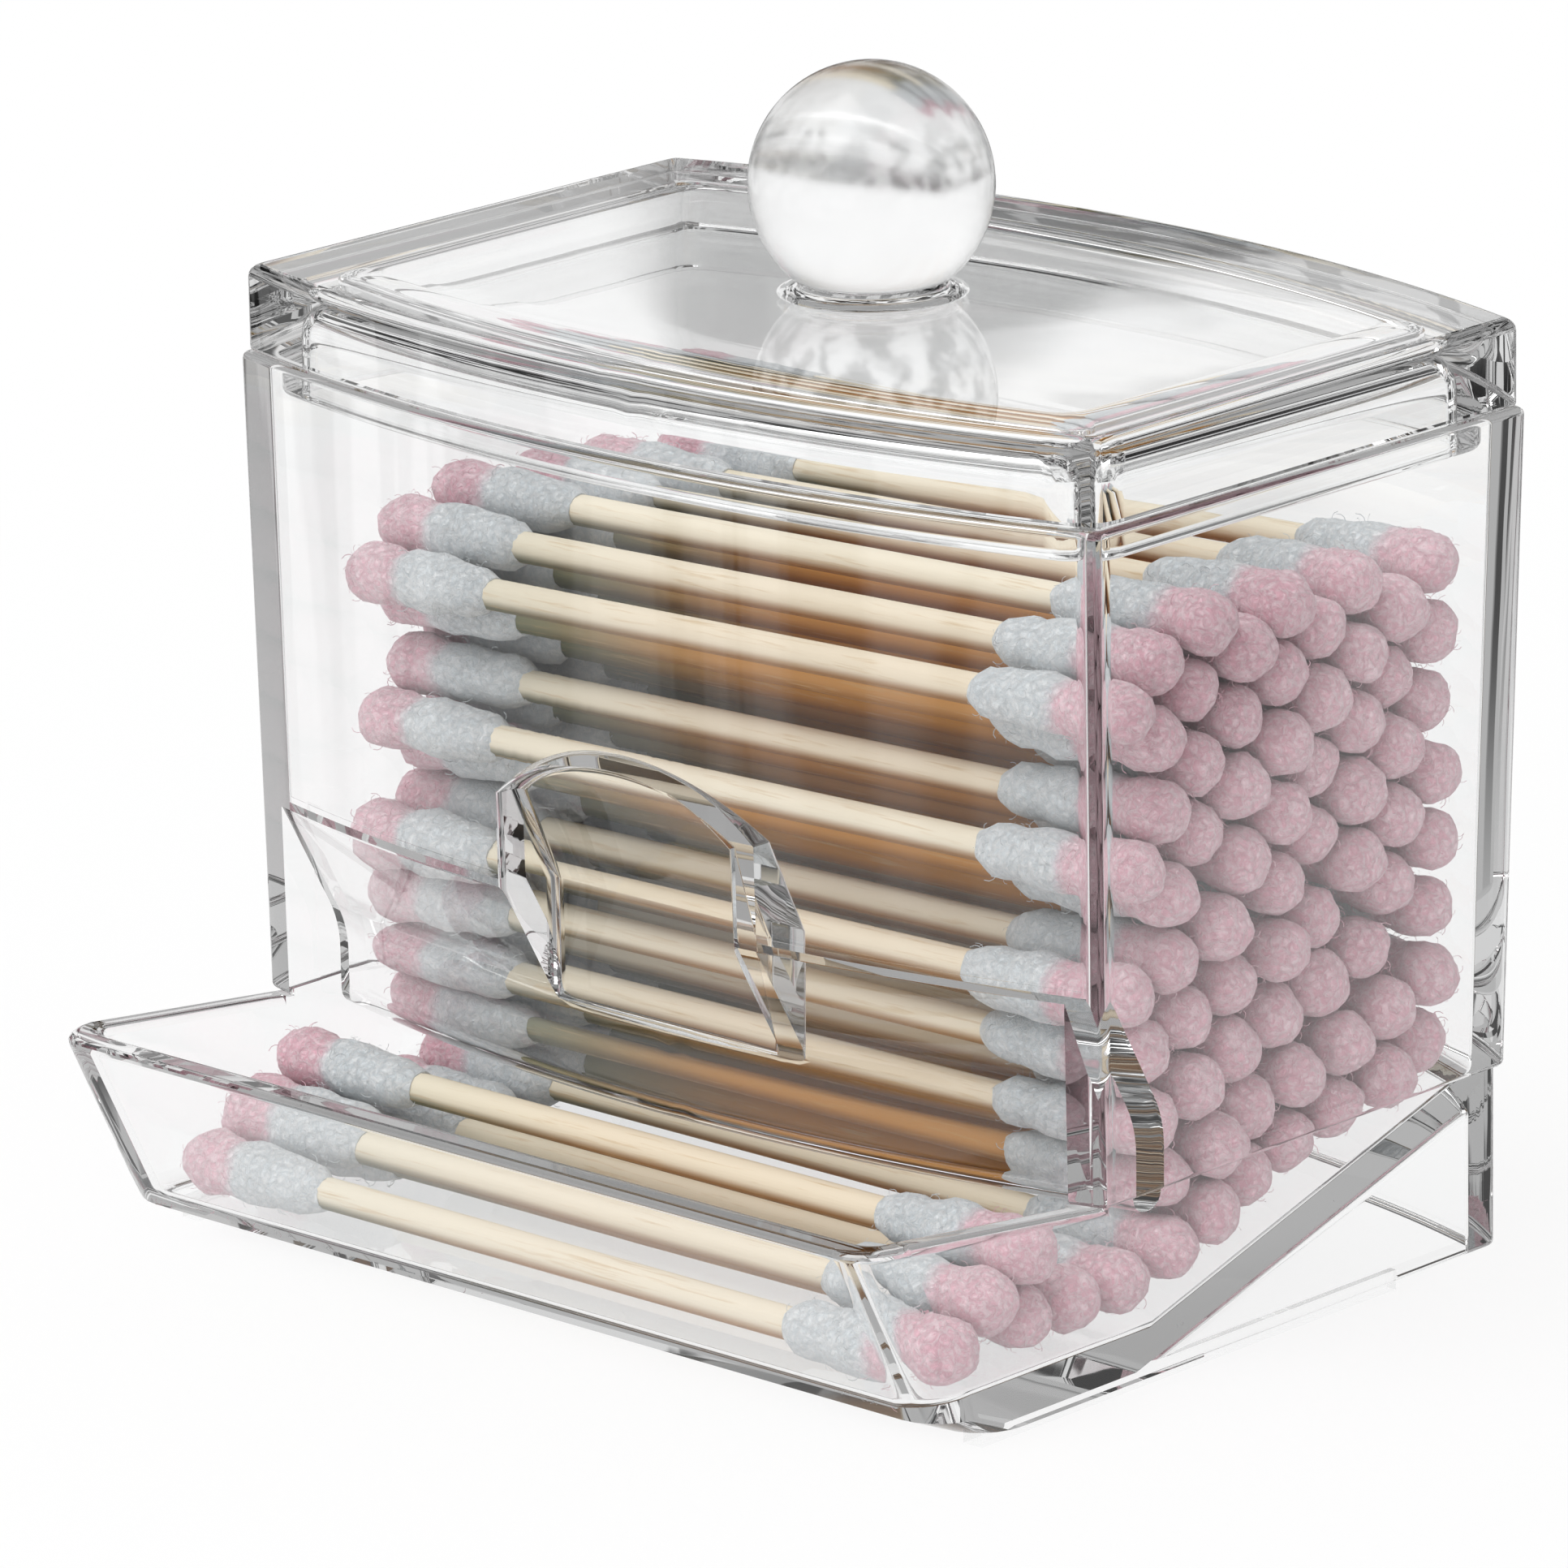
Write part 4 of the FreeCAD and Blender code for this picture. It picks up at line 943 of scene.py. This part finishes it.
woodLook = {
    "pale": (0.90, 0.82, 0.66, 1),
    # painted shade: the orange of the buried sticks, where bounced light and shade fall deep in the pile
    "warmShade": (0.60, 0.25, 0.02, 1),
    "shade": (0.10, 0.19, 0.12, 1),   # painted green shade, thrown by the surroundings on the buried sticks towards their left ends
    "shadeFrom": 0.0,
    "shadeTo": -0.028,
    "shadeShare": 0.85,
    "gap": (0.34, 0.13, 0.01, 1),     # painted shade on the undersides, which show between one stick and the next
    "gapShade": (0.04, 0.10, 0.06, 1),
    "gapFrom": 0.1,                   # how far up a surface faces
    "gapTo": -0.7,
    "gapShare": 0.9,
    "grain": (0.62, 0.42, 0.20, 1),
    "grainScale": 2600.0,
    "grainDrawn": (0.045, 1, 1),
    "grainFrom": 0.56,
    "grainTo": 0.75,
    "grainShare": 0.7,
    "relief": 0.35,
    "reliefDepth": 0.0001,
}


def woodMaterial(spec):
    material, tree, shader, coords = newMaterial("bare wood")
    setInputs(tree, shader, {"Roughness": 0.6, "Specular IOR Level": 0.3})
    drawn = addNode(tree, "ShaderNodeMapping", {"Vector": coords["Object"], "Scale": spec["grainDrawn"]})
    fibres = noise(tree, drawn.outputs[0], spec["grainScale"], 4, Roughness=0.65)
    addRelief(tree, shader, fibres, spec)
    place = addNode(tree, "ShaderNodeSeparateXYZ", {0: coords["Object"]}).outputs
    facing = addNode(tree, "ShaderNodeSeparateXYZ", {0: coords["Normal"]}).outputs
    # painted green shade towards the sticks' left ends
    leftward = ranged(tree, place["X"], spec["shadeFrom"], spec["shadeTo"], 0.0, spec["shadeShare"])
    # painted shade on the surfaces that face down
    under = ranged(tree, facing["Z"], spec["gapFrom"], spec["gapTo"], 0.0, spec["gapShare"])
    buried = mixColour(tree, leftward, spec["warmShade"], spec["shade"])
    gap = mixColour(tree, leftward, spec["gap"], spec["gapShade"])
    # painted shade on buried sticks, with each stick's own random tone
    shadeAndTone = addNode(tree, "ShaderNodeAttribute", attribute_name="shadeAndTone").outputs["Fac"]
    base = mixColour(tree, under, mixColour(tree, shadeAndTone, spec["pale"], buried), gap)
    streak = ranged(tree, fibres, spec["grainFrom"], spec["grainTo"], 0.0, spec["grainShare"], "LINEAR")
    tree.links.new(mixColour(tree, streak, base, spec["grain"]), shader.inputs["Base Color"])
    return material


bareSticks = swabPoints("bareSticks", swab, False)
bareWood = woodMaterial(woodLook)
applyTree(bareSticks, stickTree(stick), {**stick, "Wood": bareWood})
print("sticks:", len(bareSticks.data.polygons), "faces")


studio = {
    "floorRadius": 0.9,
    "floorSides": 96,
    "floorColour": (0.95, 0.95, 0.95, 1),
    "floorGlow": 0.84,
    "floorFadeFrom": 0.06,      # from here outwards the floor gives way to the plain background
    "floorFadeTo": 0.30,
    "worldLevel": 0.72,         # what lights the matt things
    "lossFrom": 0.5,            # reflections
    "lossTo": 6.0,
    "lossLeft": 0.4,
    "windowScale": 7.0,
    "windowBend": 0.6,
    "windowFrom": 0.48,
    "windowTo": 0.52,
    "windowStrength": 0.97,
    "roomLevel": 0.0,
    "roomTurn": 4.1,            # turns the windows about the upright
    "ceiling": 0.45,
    "ceilingFrom": 0.45,        # heights on the sky, as the sine of the angle
    "ceilingTo": 0.75,
    "lampPlace": (-0.25, -0.45, 0.95),
    "lampTarget": (0, 0, 0.04),
    "lampPower": 5.0,
    "lampSize": 0.9,
}


def innerLoss(tree, rays, spec):
    # light that has been thrown about inside a clear wall comes out weaker with each reflection
    depth = rays["Glossy Depth"]
    return ranged(tree, depth, spec["lossFrom"], spec["lossTo"], 1.0, spec["lossLeft"], "LINEAR")


def makeFloor(spec):
    form = bmesh.new()
    bmesh.ops.create_circle(form, cap_ends=True, segments=spec["floorSides"], radius=spec["floorRadius"])
    floor = objectFrom(form, "floor")
    material, tree, shader, coords = newMaterial("pale floor")
    setInputs(tree, shader, {"Base Color": spec["floorColour"], "Roughness": 0.9,
                             "Specular IOR Level": 0.0})
    distance = addNode(tree, "ShaderNodeVectorMath", {0: coords["Object"]}, operation="LENGTH")
    fade = ranged(tree, distance.outputs["Value"], spec["floorFadeFrom"], spec["floorFadeTo"])
    rays = addNode(tree, "ShaderNodeLightPath").outputs
    seen = mathNode(tree, "MAXIMUM", rays["Is Camera Ray"],
                    mathNode(tree, "MAXIMUM", rays["Is Glossy Ray"], rays["Is Transmission Ray"]))
    glow = nodeResult(tree, "ShaderNodeEmission", {"Strength": innerLoss(tree, rays, spec)})
    lit = mixShader(tree, mathNode(tree, "MULTIPLY", seen, spec["floorGlow"]), shader.outputs[0], glow)
    showShader(tree, mixShader(tree, fade, lit, nodeResult(tree, "ShaderNodeBsdfTransparent")))
    floor.data.materials.append(material)


def makeWorld(spec):
    # plain white to the eye and straight through clear plastic; what is reflected is a dim room with white
    # windows all round and a dim ceiling
    world = bpy.data.worlds.new("studio")
    scene.world = world
    world.use_nodes = True
    tree = world.node_tree
    rays = addNode(tree, "ShaderNodeLightPath").outputs
    through = mathNode(tree, "MAXIMUM", rays["Is Glossy Ray"], rays["Is Transmission Ray"])
    way = addNode(tree, "ShaderNodeTexCoord").outputs["Generated"]
    height = addNode(tree, "ShaderNodeSeparateXYZ", {0: way}).outputs["Z"]
    ceiling = ranged(tree, height, spec["ceilingFrom"], spec["ceilingTo"], 1.0, spec["ceiling"])
    turned = nodeResult(tree, "ShaderNodeMapping", {"Vector": way, "Rotation": (0, 0, spec["roomTurn"])})
    room = noise(tree, turned, spec["windowScale"], 2, Distortion=spec["windowBend"])
    windows = ranged(tree, room, spec["windowFrom"], spec["windowTo"], spec["roomLevel"])
    reflected = mathNode(tree, "MINIMUM", rays["Glossy Depth"], 1.0)
    shown = mixNumber(tree, mathNode(tree, "MULTIPLY", reflected, spec["windowStrength"]), 1.0, windows)
    level = mixNumber(tree, through, spec["worldLevel"], mathNode(tree, "MULTIPLY", ceiling, shown))
    strength = mathNode(tree, "MULTIPLY", level, innerLoss(tree, rays, spec))
    setInputs(tree, tree.nodes["Background"], {
        "Color": (1, 1, 1, 1), "Strength": mathNode(tree, "MAXIMUM", strength, rays["Is Camera Ray"])})
    world.cycles.sampling_method = "NONE"


def makeLamp(name, spec):
    data = bpy.data.lights.new(name, "AREA")
    data.size = spec["lampSize"]
    data.energy = spec["lampPower"]
    place = Vector(spec["lampPlace"])
    lamp = newObject(name, data)
    lamp.matrix_world = Matrix.Translation(place) @ lookAlong(Vector(spec["lampTarget"]) - place)


makeFloor(studio)
makeWorld(studio)
makeLamp("softboxOver", studio)
print("studio set")


headNodes = [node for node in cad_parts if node.startswith("heads")]
for piece, body, slotName, nodes in (
        (boxShell, "box", "clear_box", ["dispenser_body"]),
        (lidShell, "lid", "clear_lid", ["dispenser_lid"]),
        (knobBall, "lid", "clear_knob", ["lid_knob"]),
        (cottonHeads, "box", "cotton", headNodes),
        (bareSticks, "box", "bare_wood", stickNodes)):
    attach(piece, body)
    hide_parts(*nodes)
